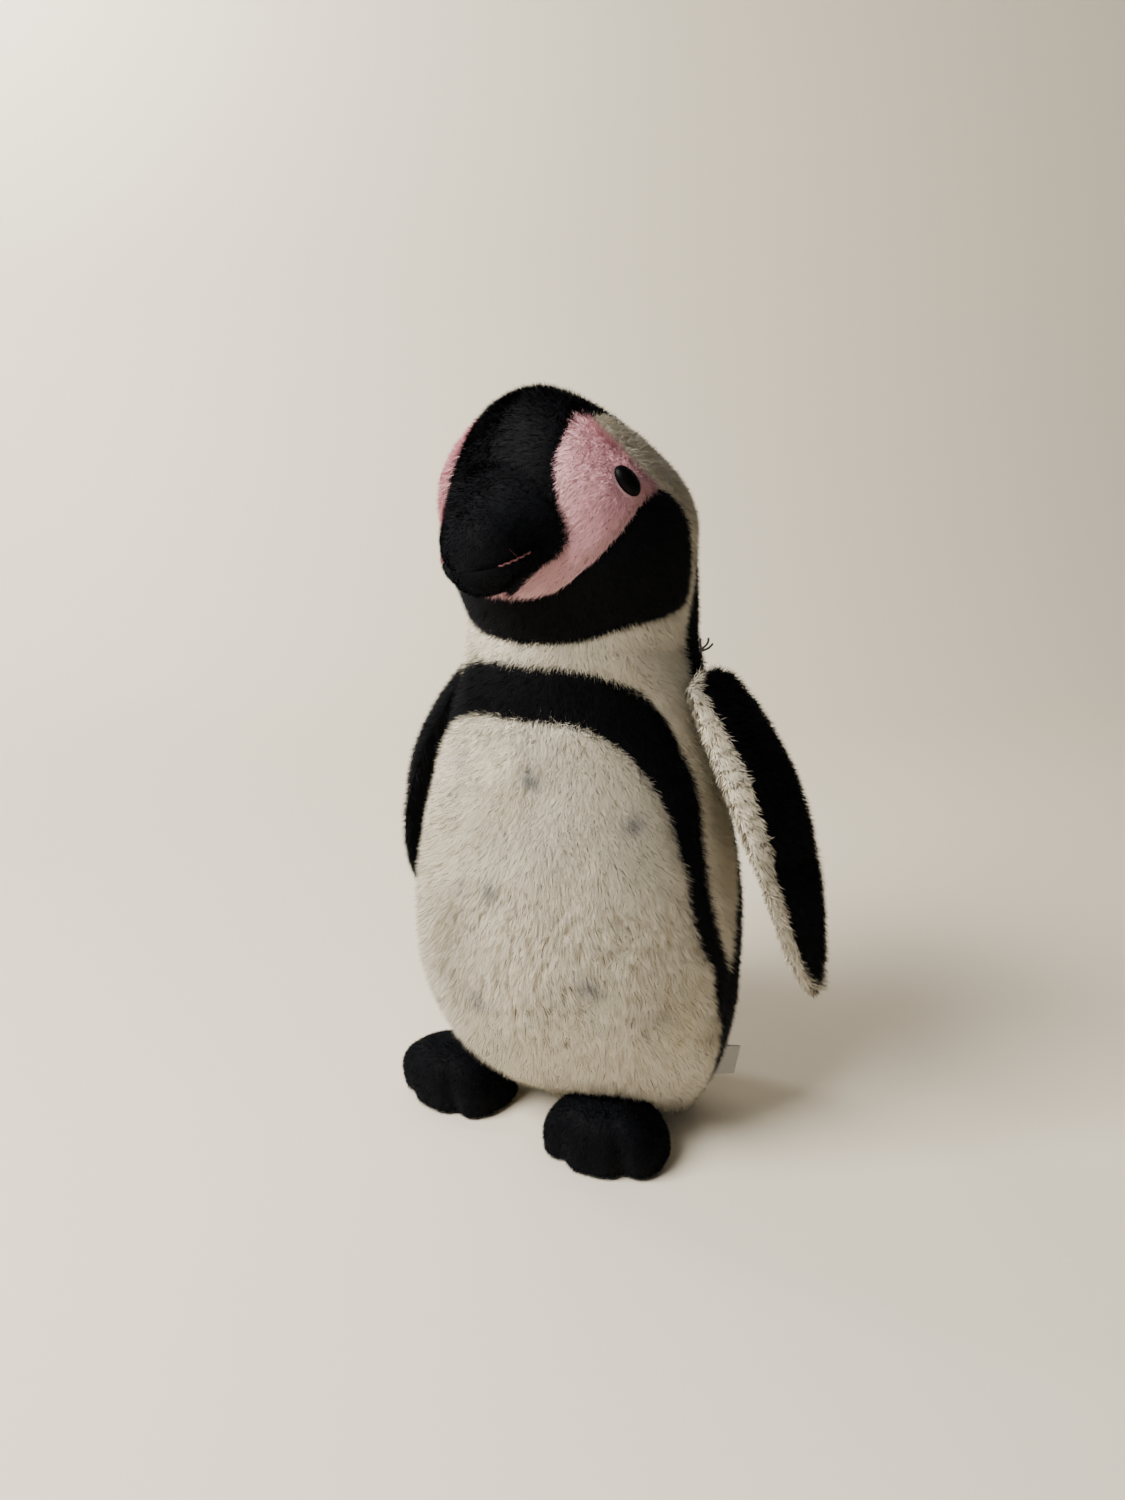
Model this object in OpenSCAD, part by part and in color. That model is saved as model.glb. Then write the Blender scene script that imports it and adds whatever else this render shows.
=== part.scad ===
// Standing plush penguin: a sewn skin of pile-fabric panels over stuffing, with a turning head,
// two swinging wings and two flexing feet. Front is -Y, up is +Z, the penguin's left is +X.
// The origin is on the floor, on the body's own axis.

/* [Body] */
// Height of the neck seam above the floor
neck_z = 195; // [165:1:235]
// Half the width of the belly at its widest
belly_half_w = 65; // [54:0.5:78]
// Half the depth of the belly at its widest
belly_half_d = 55; // [46:0.5:66]
// Radius of the neck seam
neck_r = 42.5; // [37:0.5:47]
// Thickness of the long-pile skin, pile and backing together
skin_t = 4; // [2.5:0.1:5]
// Thickness of the flat panel that the body stands on
base_t = 3; // [2:0.1:4]
// Height of the filled pellet bag above the base panel
pellet_h = 24; // [15:1:36]

/* [Head] */
// Half the width and half the depth of the head
head_r = 46; // [40:0.5:52]
// Height of the head's middle above the neck seam
head_lift = 42; // [36:0.5:50]
// Height of the crown above the head's middle
crown_h = 46.5; // [38:0.5:56]
// How far the head's middle lies in front of the neck
head_forward = 10; // [4:0.5:14]
// Forward lean of the crown, as a share of its height
crown_lean = 0.41; // [0:0.01:0.45]
// Half the angle that the beak's root takes up on the head
beak_spread = 25; // [20:0.5:28]
// Angle of the beak's middle below the level of the head's middle
beak_drop = 4; // [0:0.5:10]
// Distance from the head's front to the beak's tip
beak_len = 21; // [16:0.5:26]
// Thickness of the beak's short velour
velour_t = 1.6; // [1:0.1:2.4]

/* [Eyes] */
// Half the width of the oval eye
eye_half_w = 4.2; // [3.4:0.1:5.2]
// Half the height of the oval eye
eye_half_h = 6.5; // [5.4:0.1:7.8]
// Depth of the eye's dome
eye_dome = 3; // [2:0.1:4]
// Radius of the eye's shank
shank_r = 1.6; // [1.2:0.1:2]
// Radius of the washer that locks the shank
washer_r = 6; // [4.5:0.1:7]
// Thickness of the washer
washer_t = 1.4; // [1:0.1:2]

/* [Wings] */
// Length of a wing from its shoulder seam to its tip
wing_len = 122; // [100:1:145]
// Half the width of a wing at its widest
wing_half_w = 21; // [17:0.5:24]
// Half the thickness of a wing at its widest
wing_half_t = 9.5; // [7.5:0.1:11]
// Angle of the left wing away from straight down
left_wing_rest = 20; // [17:0.5:35]
// Angle of the right wing away from straight down
right_wing_rest = 23; // [17:0.5:35]
// Angle of the shoulder seam round the body from the front
shoulder_angle = 101; // [96:1:108]
// Turn of a wing's front edge away from the body
wing_turn = 12; // [4:1:20]
// Depth of the shoulder seam below the neck seam
shoulder_drop = 12; // [11:0.5:20]
// Thickness of a wing's skin
wing_skin = 2.4; // [1.5:0.1:3]

/* [Feet] */
// Length of a foot from heel to toes
foot_len = 33; // [28:0.5:40]
// Half the width of a foot at its toes
foot_half_w = 25; // [21:0.5:27]
// Height of a foot
foot_h = 23; // [18:0.5:27]
// Distance of the left foot's middle from the body's middle plane
left_foot_out = 28; // [25:0.5:34]
// Distance of the right foot's middle from the body's middle plane
right_foot_out = 38; // [30:0.5:40]
// Outward turn of a foot
foot_splay = 8; // [0:0.5:14]
// Thickness of a sole
sole_t = 2; // [1:0.1:3]
// Depth of the notches between the toes
toe_notch = 2.2; // [0:0.1:3]

/* [Small parts] */
// Radius of the rolled seam that joins a wing or a foot to the body
roll_r = 2.6; // [2:0.1:3]
// Radius of the mouth thread
thread_r = 0.5; // [0.3:0.05:0.8]
// Width of the folded ribbon label
label_w = 12; // [8:0.5:16]
// Length of the folded ribbon label outside its seam
label_len = 15; // [10:0.5:20]
// Thickness of the folded ribbon
label_t = 0.9; // [0.6:0.1:1.4]

/* [Clearances] */
// Gap between a skin and what fills it
fill_gap = 0.6; // [0.5:0.05:1]
// Gap at the neck between the head's skin and the body's skin
neck_gap = 0.6; // [0.5:0.05:1]
// Gap between a rolled seam and the body
seat_gap = 0.45; // [0.4:0.05:0.7]

/* [Hidden] */

BLACK = "#1b1c22";
WHITE = "#e9e5dc";
PINK = "#dfb9bf";
FILL = "#f5f5f0";

// ---- the body's outline: share of the neck's height, half width, middle, half depth

// Height share at which the belly is widest
widest = 0.51;
BODY = [
    [0.00, 0.62 * belly_half_w, 17, 0.38 * belly_half_d],
    [0.05, 0.72 * belly_half_w, 14, 0.46 * belly_half_d],
    [0.13, 0.85 * belly_half_w, 6, 0.75 * belly_half_d],
    [0.23, 0.95 * belly_half_w, 0, 0.89 * belly_half_d],
    [0.33, 1.00 * belly_half_w, -3, 0.98 * belly_half_d],
    [widest, 1.00 * belly_half_w, -4, 1.00 * belly_half_d],
    [0.74, 0.86 * belly_half_w, -3, 0.91 * belly_half_d],
    [0.90, 0.45 * belly_half_w + 0.43 * neck_r, -1, 0.5 * belly_half_d + 0.41 * neck_r],
    [1.00, neck_r, 0, neck_r],
];
body_top = neck_z - neck_gap / 2;
head_bottom = neck_z + neck_gap / 2;
rim = base_t / neck_z;
top = body_top / neck_z;

// Seams on the body: angle from the front in degrees, share of the neck's height
SIDE_SEAM = [[97, rim], [96, 0.12], [91, 0.27]];
INNER_ARCH = [
    [91, 0.27], [85, 0.33], [79, 0.42], [71, 0.51], [68, 0.62], [62, 0.74], [47, 0.835], [26, 0.877], [0, 0.885],
];
LOW_SEAM = [[91, 0.27], [96, 0.38]];
OUTER_ARCH = [
    [96, 0.38], [88, 0.44], [81, 0.54], [80, 0.64], [82, 0.72], [78, 0.80], [70, 0.88], [55, 0.94], [30, 0.973],
    [0, 0.98],
];
BACK_SEAM = [
    [96, 0.38], [98, 0.46], [104, 0.54], [110, 0.62], [112, 0.72], [106, 0.81], [96, 0.91], [92, top],
];
NECK_SEAM = [[92, top], [0, top]];

// Seams on the head: angle from the front, angle above the head's middle
head_z = neck_z + head_lift;
neck_down = asin((head_z - head_bottom) / crown_h);
CROWN_SEAM = [[0, -31], [10, -24], [20, -15], [27, -4], [31, 8], [32, 20], [37, 35], [57, 51], [78, 54]];
TOP_SEAM = [[78, 54], [100, 55]];
JAW_TOP = [[0, -31], [13, -30], [27, -25], [40, -15], [51, -5.5], [62, 4.5], [76, 14], [86, 17]];
BROW_SEAM = [[86, 17], [82, 25], [79, 34], [77, 46], [78, 54]];
JAW_LOW = [[0, -57], [28, -54], [52, -46], [80, -40], [95, -33], [101, -15], [99, 0], [94, 10], [86, 17]];
THROAT_SEAM = [[0, -neck_down], [92, -neck_down]];
NAPE_SEAM = [[92, -neck_down], [97, -45], [110, -25], [124, -3], [131, 18], [124, 40], [100, 55]];
NAPE_TOP = 105;

// ---- curves and surfaces

function flat(rows) = [for (row = rows) for (p = row) p];
function unit(v) = v / norm(v);
function mix(a, b, t) = a * (1 - t) + b * t;
function mirror_x(p) = [-p[0], p[1], p[2]];

// A point on the smooth curve through all points of a list; u runs from 0 to the last index
function through(p, u) =
    let (
        m = len(p) - 1,
        i = min(floor(u), m - 1),
        t = u - i,
        b = p[i],
        c = p[i + 1],
        a = i == 0 ? 2 * b - c : p[i - 1],
        d = i == m - 1 ? 2 * c - b : p[i + 2]
    )
    0.5 * (2 * b + (c - a) * t + (2 * a - 5 * b + 4 * c - d) * t * t + (3 * b - a - 3 * c + d) * t * t * t);
// n + 1 points spread along that curve
function spread(p, n) = [for (j = [0:n]) through(p, j / n * (len(p) - 1))];
// Two point lists joined at their common end
function chain(a, b) = concat(a, [for (j = [1:len(b) - 1]) b[j]]);

// Value k of a table whose first column rises, as a smooth curve through its rows
function row_of(table, x, i = 0) = i >= len(table) - 2 || x < table[i + 1][0] ? i : row_of(table, x, i + 1);
function slope(table, i, k) =
    let (a = max(i - 1, 0), b = min(i + 1, len(table) - 1))
    (table[b][k] - table[a][k]) / (table[b][0] - table[a][0]);
function value(table, x, k) =
    let (
        i = row_of(table, x),
        h = table[i + 1][0] - table[i][0],
        t = (x - table[i][0]) / h
    )
    (1 + 2 * t) * (1 - t) * (1 - t) * table[i][k] + t * (1 - t) * (1 - t) * h * slope(table, i, k)
    + t * t * (3 - 2 * t) * table[i + 1][k] - t * t * (1 - t) * h * slope(table, i + 1, k);

// The body's surface at an angle and a height share, moved inwards by inset
function body_at(p, inset = 0) =
    let (
        w = value(BODY, p[1], 1) - inset,
        d = value(BODY, p[1], 3) - inset
    )
    [w * sin(p[0]), value(BODY, p[1], 2) - d * cos(p[0]), p[1] * neck_z];

// A direction from the head's middle
function aim(p) = [cos(p[1]) * sin(p[0]), -cos(p[1]) * cos(p[0]), sin(p[1])];
// The head's surface in a direction: a rounded cone above the middle and a waist below it
function head_at(dir, inset = 0) =
    let (
        v = unit(dir),
        q = v[2],
        flat_len = max(norm([v[0], v[1]]), 1e-6),
        up = max(q, 0),
        u = min(max(-q, 0) / sin(neck_down), 1),
        waist = u * u * (3 - 2 * u),
        side = q >= 0 ? (head_r - inset) * pow(max(1 - pow(up, 1.8), 0), 1 / 1.8) : mix(head_r, neck_r, waist) - inset,
        rise = q >= 0 ? (crown_h - inset) * q : crown_h * q,
        middle = q >= 0 ? -head_forward - crown_lean * rise : -head_forward * (1 - waist)
    )
    [side * v[0] / flat_len, middle + side * v[1] / flat_len, head_z + rise];

// ---- solids from point grids

// The two triangles of a grid cell, without the ones that have no area
function cell(p, a, b, c, d) = [
    for (f = [[a, b, c], [a, c, d]])
        if (p[f[0]] != p[f[1]] && p[f[1]] != p[f[2]] && p[f[2]] != p[f[0]]) f
];

// A closed wall between an outer grid and an inner grid of the same shape. In a wrapped one, each row
// ends where it starts, so the wall has no ends there.
module wall(outer, inner, wrapped = false) {
    m = len(outer);
    n = len(outer[0]);
    p = concat(flat(outer), flat(inner));
    k = m * n;
    faces = flat(concat(
        [for (i = [0:m - 2], j = [0:n - 2]) cell(p, i * n + j, (i + 1) * n + j, (i + 1) * n + j + 1, i * n + j + 1)],
        [for (i = [0:m - 2], j = [0:n - 2])
            cell(p, k + i * n + j, k + i * n + j + 1, k + (i + 1) * n + j + 1, k + (i + 1) * n + j)],
        wrapped ? [] : [for (i = [0:m - 2]) cell(p, i * n, k + i * n, k + (i + 1) * n, (i + 1) * n)],
        wrapped ? [] : [for (i = [0:m - 2])
            cell(p, (i + 1) * n - 1, (i + 2) * n - 1, k + (i + 2) * n - 1, k + (i + 1) * n - 1)],
        [for (j = [0:n - 2]) cell(p, j, j + 1, k + j + 1, k + j)],
        [for (j = [0:n - 2])
            cell(p, (m - 1) * n + j, k + (m - 1) * n + j, k + (m - 1) * n + j + 1, (m - 1) * n + j + 1)]
    ));
    polyhedron(p, faces, convexity = 6);
}

// A closed solid through a stack of rings, from the lowest to the highest
module stack(rings) {
    m = len(rings);
    n = len(rings[0]);
    p = flat(rings);
    faces = concat(
        flat([for (i = [0:m - 2], j = [0:n - 1])
            cell(p, i * n + j, (i + 1) * n + j, (i + 1) * n + (j + 1) % n, i * n + (j + 1) % n)]),
        p[0] == p[1] ? [] : [[for (j = [0:n - 1]) j]],
        p[(m - 1) * n] == p[(m - 1) * n + 1] ? [] : [[for (j = [n - 1:-1:0]) (m - 1) * n + j]]
    );
    polyhedron(p, faces, convexity = 6);
}

// ---- body skin: each panel lies between two seams with the same number of points

function between(a, b, n) =
    [for (i = [0:len(a) - 1]) [for (j = [0:n]) a[i] == b[i] ? a[i] : mix(a[i], b[i], j / n)]];
function on_body(rows, inset) = [for (row = rows) [for (p = row) body_at(p, inset)]];
module body_panel(rows) {
    wall(on_body(rows, 0), on_body(rows, skin_t));
}

side_pts = spread(SIDE_SEAM, 8);
inner_pts = spread(INNER_ARCH, 16);
low_pts = spread(LOW_SEAM, 2);
outer_pts = spread(OUTER_ARCH, 14);
back_pts = spread(BACK_SEAM, 9);
neck_pts = spread(NECK_SEAM, 5);
belly_edge = chain(side_pts, inner_pts);
back_edge = chain(chain(side_pts, low_pts), back_pts);

module left_belly_panel() {
    color(WHITE)
        body_panel(between([for (p = belly_edge) [0, p[1]]], belly_edge, 10));
}

module chest_band() {
    color(BLACK) {
        body_panel(between(inner_pts, chain(low_pts, outer_pts), 3));
        mirror([1, 0, 0])
            body_panel(between(inner_pts, chain(low_pts, outer_pts), 3));
    }
}

module left_flank_panel() {
    color(WHITE)
        body_panel(between(outer_pts, chain(back_pts, neck_pts), 4));
}

module left_back_panel() {
    color(BLACK)
        body_panel(between(back_edge, [for (p = back_edge) [180, p[1]]], 11));
}

module base_panel() {
    color(WHITE)
        linear_extrude(base_t)
            polygon([for (a = [0:7.5:352.5]) let (p = body_at([a, rim], 1)) [p[0], p[1]]]);
}

// ---- body filling
// The head's skin bends more sharply than the body's, so its filling keeps further off

fill_inset = skin_t + fill_gap;
head_inset = fill_inset + 0.6;
function body_ring(z) = [for (a = [0:10:350]) body_at([a, z / neck_z], fill_inset)];
pellet_top = base_t + fill_gap + pellet_h;

module pellet_bag() {
    color("#cfcabc")
        stack([for (i = [0:4]) body_ring(base_t + fill_gap + pellet_h * i / 4)]);
}

module body_stuffing() {
    low = pellet_top + fill_gap;
    color(FILL)
        stack([for (i = [0:16]) body_ring(low + (body_top - low) * i / 16)]);
}

// Ladder stitches that close the back seam after stuffing
stitch_count = 7;
stitch_r = 0.45;
module closing_stitch() {
    color("#26262c")
        for (i = [0:stitch_count - 1]) {
            share = 0.3 + 0.02 * i;
            seam = body_at([180, share]);
            translate([-3, seam[1] + stitch_r + 0.1, seam[2]])
                rotate([0, 90, 0])
                    cylinder(h = 6, r = stitch_r, $fn = 16);
        }
}

// A folded ribbon with nothing on it, sewn in the side seam low on the left
label_angle = 100;
label_share = 0.1;
label_gap = 1.7;
module label() {
    root = body_at([label_angle, label_share]);
    color("#f2f1ee")
        translate([root[0] + label_gap, root[1], root[2]])
            rotate([0, 12, 50])
                translate([0, -label_t / 2, -label_w / 2])
                    cube([label_len, label_t, label_w]);
}

// ---- head skin

function on_head(sides, inset) = [for (row = sides) [for (v = row) head_at(v, inset)]];
module head_panel(rows) {
    wall(on_head(rows, 0), on_head(rows, skin_t));
}
function aims(p) = [for (q = p) aim(q)];
// Directions on the head's middle plane, from the front over the crown to the nape
function arc(from, to, n) = [for (j = [0:n]) let (g = mix(from, to, j / n)) [0, -cos(g), sin(g)]];

crown_pts = aims(spread(CROWN_SEAM, 15));
top_pts = aims(spread(TOP_SEAM, 2));
jaw_top_pts = aims(spread(JAW_TOP, 10));
brow_pts = aims(spread(BROW_SEAM, 5));
jaw_low_pts = aims(spread(JAW_LOW, 10));
throat_pts = aims(spread(THROAT_SEAM, 5));
nape_pts = aims(spread(NAPE_SEAM, 8));

// A direction between two others, at the matching height between theirs
function steer(a, b, t) =
    let (
        h = mix(a, b, t),
        e = mix(asin(a[2]), asin(b[2]), t),
        turn = norm([h[0], h[1]]) < 1e-6 ? 0 : atan2(h[0], -h[1])
    )
    aim([turn, e]);
function head_rows(a, b, n) =
    [for (i = [0:len(a) - 1]) [for (j = [0:n]) a[i] == b[i] ? a[i] : steer(a[i], b[i], j / n)]];
// Rows that run from one side over the middle plane to the other side
function across(side, middle, n) = [
    for (i = [0:len(side) - 1]) concat(
        [for (j = [0:n - 1]) steer(side[i], middle[i], j / n)],
        [middle[i]],
        [for (j = [n - 1:-1:0]) mirror_x(steer(side[i], middle[i], j / n))]
    )
];

module crown_panel() {
    side = chain(crown_pts, top_pts);
    color(BLACK)
        head_panel(across([for (v = side) mirror_x(v)], arc(-31, NAPE_TOP, len(side) - 1), 6));
}

module nape_panel() {
    color(BLACK)
        head_panel(across(nape_pts, arc(180 + neck_down, NAPE_TOP, len(nape_pts) - 1), 6));
}

// A place cut in a skin for an eye: a shallow seat and a hole for the shank
EYE = [66, 20];
eye_depth = 1.4;
module at_eye() {
    p = head_at(aim(EYE));
    q = head_at(aim([EYE[0] + 2, EYE[1]])) - p;
    r = head_at(aim([EYE[0], EYE[1] + 2])) - p;
    out = unit(cross(q, r));
    up = unit(r - (r * out) * out);
    along = cross(up, out);
    multmatrix([
        [along[0], up[0], out[0], p[0]],
        [along[1], up[1], out[1], p[1]],
        [along[2], up[2], out[2], p[2]],
        [0, 0, 0, 1],
    ])
        children();
}
// The skin curves away behind the flat washer
washer_z = -skin_t - washer_r * washer_r / (2 * (head_r - skin_t)) - 0.25 - washer_t;
shank_len = -washer_z - eye_depth + 1.2;
pocket_r = washer_r + 0.8;

module left_cheek_panel() {
    color(PINK)
        difference() {
            head_panel(head_rows(crown_pts, chain(jaw_top_pts, brow_pts), 6));
            at_eye() {
                translate([0, 0, -eye_depth])
                    cylinder(h = 10, r = eye_half_h + 0.4, $fn = 40);
                translate([0, 0, -10])
                    cylinder(h = 20, r = shank_r + 0.2, $fn = 24);
                translate([0, 0, washer_z - 2])
                    cylinder(h = washer_t + 2.05, r = washer_r + 0.3, $fn = 40);
            }
        }
}

module left_brow_panel() {
    front = chain(jaw_low_pts, brow_pts);
    back = chain(chain(throat_pts, nape_pts), [for (i = [len(top_pts) - 1:-1:0]) top_pts[i]]);
    color(WHITE)
        head_panel(head_rows(front, back, 4));
}

module left_jaw_panel() {
    color(BLACK)
        head_panel(head_rows(jaw_top_pts, jaw_low_pts, 5));
}

// ---- beak: a blunt dome on the head's front, split along the mouth

beak_mid = head_at(aim([0, -beak_drop]));
beak_tip = beak_mid + beak_len * [0, -cos(28), -sin(28)];
// The beak's root at an angle round it, on the head's surface, lifted off it by lift
function beak_root(g, share, lift) =
    head_at(aim([beak_spread * share * cos(g), beak_spread * share * sin(g) - beak_drop]), -lift);
// The beak's surface: g runs round it, t runs from its root at 0 to its tip at 90
function beak_at(g, t, thin = 0) =
    let (
        root = beak_root(g, 1 - thin / 21, seat_gap),
        tip = beak_tip + [0, thin * cos(28), thin * sin(28)]
    )
    beak_mid + (root - beak_mid) * pow(cos(t), 0.85) + (tip - beak_mid) * pow(sin(t), 0.9);
mouth_low = 4;
beak_t = [0, 14, 28, 42, 55, 67, 78, 90];
function beak_half(from, to, thin) =
    [for (t = beak_t) [for (j = [0:14]) beak_at(mix(from, to, j / 14), t, thin)]];

module beak_upper() {
    color(BLACK)
        wall(beak_half(mouth_low, 180 - mouth_low, 0), beak_half(mouth_low, 180 - mouth_low, velour_t));
}

module beak_lower() {
    color(BLACK)
        wall(beak_half(180 - mouth_low, 360 + mouth_low, 0), beak_half(180 - mouth_low, 360 + mouth_low, velour_t));
}

module beak_stuffing() {
    thin = velour_t + fill_gap;
    ring = [for (j = [0:27]) j * 360 / 28];
    color(FILL)
        stack(concat(
            [for (s = [0, 0.25, 0.5, 0.75]) [for (g = ring) beak_root(g, s * (1 - thin / 21), seat_gap)]],
            [for (t = beak_t) [for (g = ring) beak_at(g, t, thin)]]
        ));
}

// One stitched thread along the mouth on each side of the beak
module mouth_thread() {
    path = [for (t = [26:7:75]) let (p = beak_at(mouth_low, t)) p + (thread_r + 0.12) * unit(p - beak_mid)];
    last = len(path) - 1;
    ring = [for (i = [0:last])
        let (
            dir = unit(path[min(i + 1, last)] - path[max(i - 1, 0)]),
            a = unit(cross(dir, [0, 0, 1])),
            b = cross(dir, a)
        )
        [for (g = [0:45:315]) path[i] + thread_r * (a * cos(g) + b * sin(g))]];
    color("#8c2e38") {
        stack(ring);
        mirror([1, 0, 0])
            stack(ring);
    }
}

// ---- eyes

module left_eye() {
    color("#0c0c10")
        at_eye() {
            translate([0, 0, -eye_depth + 0.15])
                rotate([0, 0, 14])
                    stack([for (e = [0, 18, 36, 54, 72, 90])
                        [for (g = [0:12:348])
                            [eye_half_w * cos(e) * cos(g), eye_half_h * cos(e) * sin(g), eye_dome * sin(e)]]]);
            translate([0, 0, -eye_depth + 0.15 - shank_len])
                cylinder(h = shank_len, r = shank_r, $fn = 24);
        }
}

module left_eye_washer() {
    color("#e8e8e4")
        at_eye()
            translate([0, 0, washer_z])
                difference() {
                    cylinder(h = washer_t, r = washer_r, $fn = 40);
                    translate([0, 0, -1])
                        cylinder(h = washer_t + 2, r = shank_r + 0.05, $fn = 24);
                }
}

module eye_pocket() {
    at_eye()
        translate([0, 0, washer_z - 2])
            cylinder(h = 12, r = pocket_r, $fn = 40);
}

module head_stuffing() {
    ring = [for (a = [0:10:350]) a];
    levels = [for (i = [0:7]) -neck_down + neck_down * i / 7];
    crown = [10, 20, 30, 41, 52, 64, 77, 90];
    color(FILL)
        difference() {
            stack([for (e = concat(levels, crown)) [for (a = ring) head_at(aim([a, e]), head_inset)]]);
            eye_pocket();
            mirror([1, 0, 0])
                eye_pocket();
        }
}

// ---- wings, made hanging straight down from the middle of their shoulder seam

shoulder_z = neck_z - shoulder_drop;
// Places a left wing: rest is its angle away from straight down, or more where a wide belly needs it
module at_shoulder(rest) {
    p = body_at([shoulder_angle, shoulder_z / neck_z]);
    lean = max(rest, atan((belly_half_w - p[0]) / (shoulder_z - widest * neck_z)) + 6);
    translate(p)
        rotate([0, 0, wing_turn])
            translate([roll_r + seat_gap, 0, 0])
                rotate([0, -lean, 0])
                    children();
}
wing_root = 1.4;
function wing_width(s, thin) =
    max((wing_half_w - thin) * (0.72 + 0.28 * sin(150 * s)) * pow(max(1 - pow(s, 3.2), 0), 0.5), 0.0001);
function wing_depth(s, thin) =
    max((wing_half_t - thin) * (0.45 + 0.55 * sin(160 * min(s * 1.6 + 0.12, 1)))
        * pow(max(1 - pow(s, 4), 0), 0.5), 0.0001);
wing_inside = 0.5;
// The wing's surface: s runs from the root to the tip, g runs round from the front edge over the outer face
function wing_at(s, g, thin = 0) =
    let (
        share = mix(thin / wing_len, 1 - thin / wing_len, s),
        bow = 7 * sin(180 * s)
    )
    s >= 1
        ? [0, 4, -wing_root - wing_len * share]
        : [
            bow + (sin(g) > 0 ? wing_depth(s, thin) : wing_inside * wing_depth(s, thin / wing_inside)) * sin(g),
            -wing_width(s, thin) * cos(g) + 4 * s * s,
            -roll_r - wing_root - (wing_len - roll_r) * share,
        ];
wing_rows = [0, 0.08, 0.17, 0.27, 0.38, 0.5, 0.61, 0.71, 0.8, 0.87, 0.93, 0.97, 0.99, 1];
function wing_half(from, to, thin) =
    [for (s = wing_rows) [for (j = [0:10]) wing_at(s, mix(from, to, j / 10), thin)]];

module wing_outer() {
    color(BLACK)
        wall(wing_half(180, 0, 0), wing_half(180, 0, wing_skin));
}

module wing_inner() {
    color(WHITE)
        wall(wing_half(360, 180, 0), wing_half(360, 180, wing_skin));
}

module wing_stuffing() {
    thin = wing_skin + fill_gap;
    last = len(wing_rows) - 1;
    color(FILL)
        stack([for (i = [last:-1:0]) [for (g = [0:18:342]) wing_at(wing_rows[i], g, thin)]]);
}

module wing_seam() {
    half = 0.62 * wing_half_w;
    color(BLACK)
        rotate([90, 0, 0])
            cylinder(h = 2 * half, r = roll_r, center = true, $fn = 32);
}

// ---- feet, made with the hinge line through the origin and the toes towards -Y

foot_z = roll_r + 2.6;
ankle_half = 0.16 * foot_half_w;
// The front of the body at a distance from its middle plane and a height
function body_front(x, z) =
    let (w = value(BODY, z / neck_z, 1))
    value(BODY, z / neck_z, 2) - value(BODY, z / neck_z, 3) * sqrt(max(1 - x * x / (w * w), 0));
// The foot's seam lies against the overhanging front of the body, its inner end nearest
module at_ankle(out) {
    y = body_front(out - ankle_half, foot_z + 0.7 * roll_r) - 0.85 * roll_r - 0.8 * seat_gap;
    translate([out, y, foot_z])
        rotate([0, 0, foot_splay])
            children();
}
// Outline of the foot, thin inside its edge: a rounded heel and three toes with notches between them
function foot_edge(g, thin) =
    let (
        toe = max(-sin(g), 0),
        notch = toe_notch * toe * pow(cos(3 * (g - 270)) * 0.5 + 0.5 < 0.5 ? 1 - (cos(3 * (g - 270)) + 1) : 0, 1),
        w = (foot_half_w - thin) * (0.9 + 0.1 * toe),
        l = foot_len / 2 - thin
    )
    [
        (w - notch) * cos(g) * pow(max(abs(cos(g)), 0.001), -0.12),
        (l - notch) * sin(g) * pow(max(abs(sin(g)), 0.001), -0.12),
    ];
heel_gap = 0.5;
toe_lean = 12.5;
foot_middle = -foot_len / 2 - roll_r - heel_gap;
// The foot's surface: g runs round it, t runs from the sole's edge at 0 to the top at 90
function foot_at(g, t, thin, low) =
    let (
        e = foot_edge(g, thin),
        out = pow(cos(t), 0.75),
        rise = pow(sin(t), 0.95)
    )
    [e[0] * out, foot_middle + e[1] * out - toe_lean * rise, low + (foot_h - foot_z - thin - low) * rise];
foot_t = [0, 12, 25, 38, 52, 66, 79, 90];

module foot_upper() {
    low = sole_t - foot_z + 0.05;
    color(BLACK)
        wall(
            [for (t = foot_t) [for (j = [0:40]) foot_at((j % 40) * 9, t, 0, low)]],
            [for (t = foot_t) [for (j = [0:40]) foot_at((j % 40) * 9, t, velour_t, low)]],
            wrapped = true
        );
}

module foot_sole() {
    color(BLACK)
        translate([0, 0, -foot_z])
            linear_extrude(sole_t)
                polygon([for (j = [0:39]) let (e = foot_edge(j * 9, 0.3)) [e[0], foot_middle + e[1]]]);
}

module foot_stuffing() {
    low = sole_t + fill_gap - foot_z;
    color(FILL)
        stack([for (t = foot_t) [for (j = [0:31]) foot_at(j * 11.25, t, velour_t + fill_gap, low)]]);
}

module foot_seam() {
    color(BLACK)
        rotate([0, 90, 0])
            cylinder(h = 2 * ankle_half, r = roll_r, center = true, $fn = 32);
}

crown_panel();
nape_panel();
left_cheek_panel();
mirror([1, 0, 0]) left_cheek_panel();  // right_cheek_panel
left_brow_panel();
mirror([1, 0, 0]) left_brow_panel();  // right_brow_panel
left_jaw_panel();
mirror([1, 0, 0]) left_jaw_panel();  // right_jaw_panel
beak_upper();
beak_lower();
beak_stuffing();
mouth_thread();
left_eye();
mirror([1, 0, 0]) left_eye();  // right_eye
left_eye_washer();
mirror([1, 0, 0]) left_eye_washer();  // right_eye_washer
head_stuffing();
left_belly_panel();
mirror([1, 0, 0]) left_belly_panel();  // right_belly_panel
chest_band();
left_flank_panel();
mirror([1, 0, 0]) left_flank_panel();  // right_flank_panel
left_back_panel();
mirror([1, 0, 0]) left_back_panel();  // right_back_panel
base_panel();
body_stuffing();
pellet_bag();
closing_stitch();
label();
at_shoulder(left_wing_rest) wing_outer();  // left_wing_outer
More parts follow.
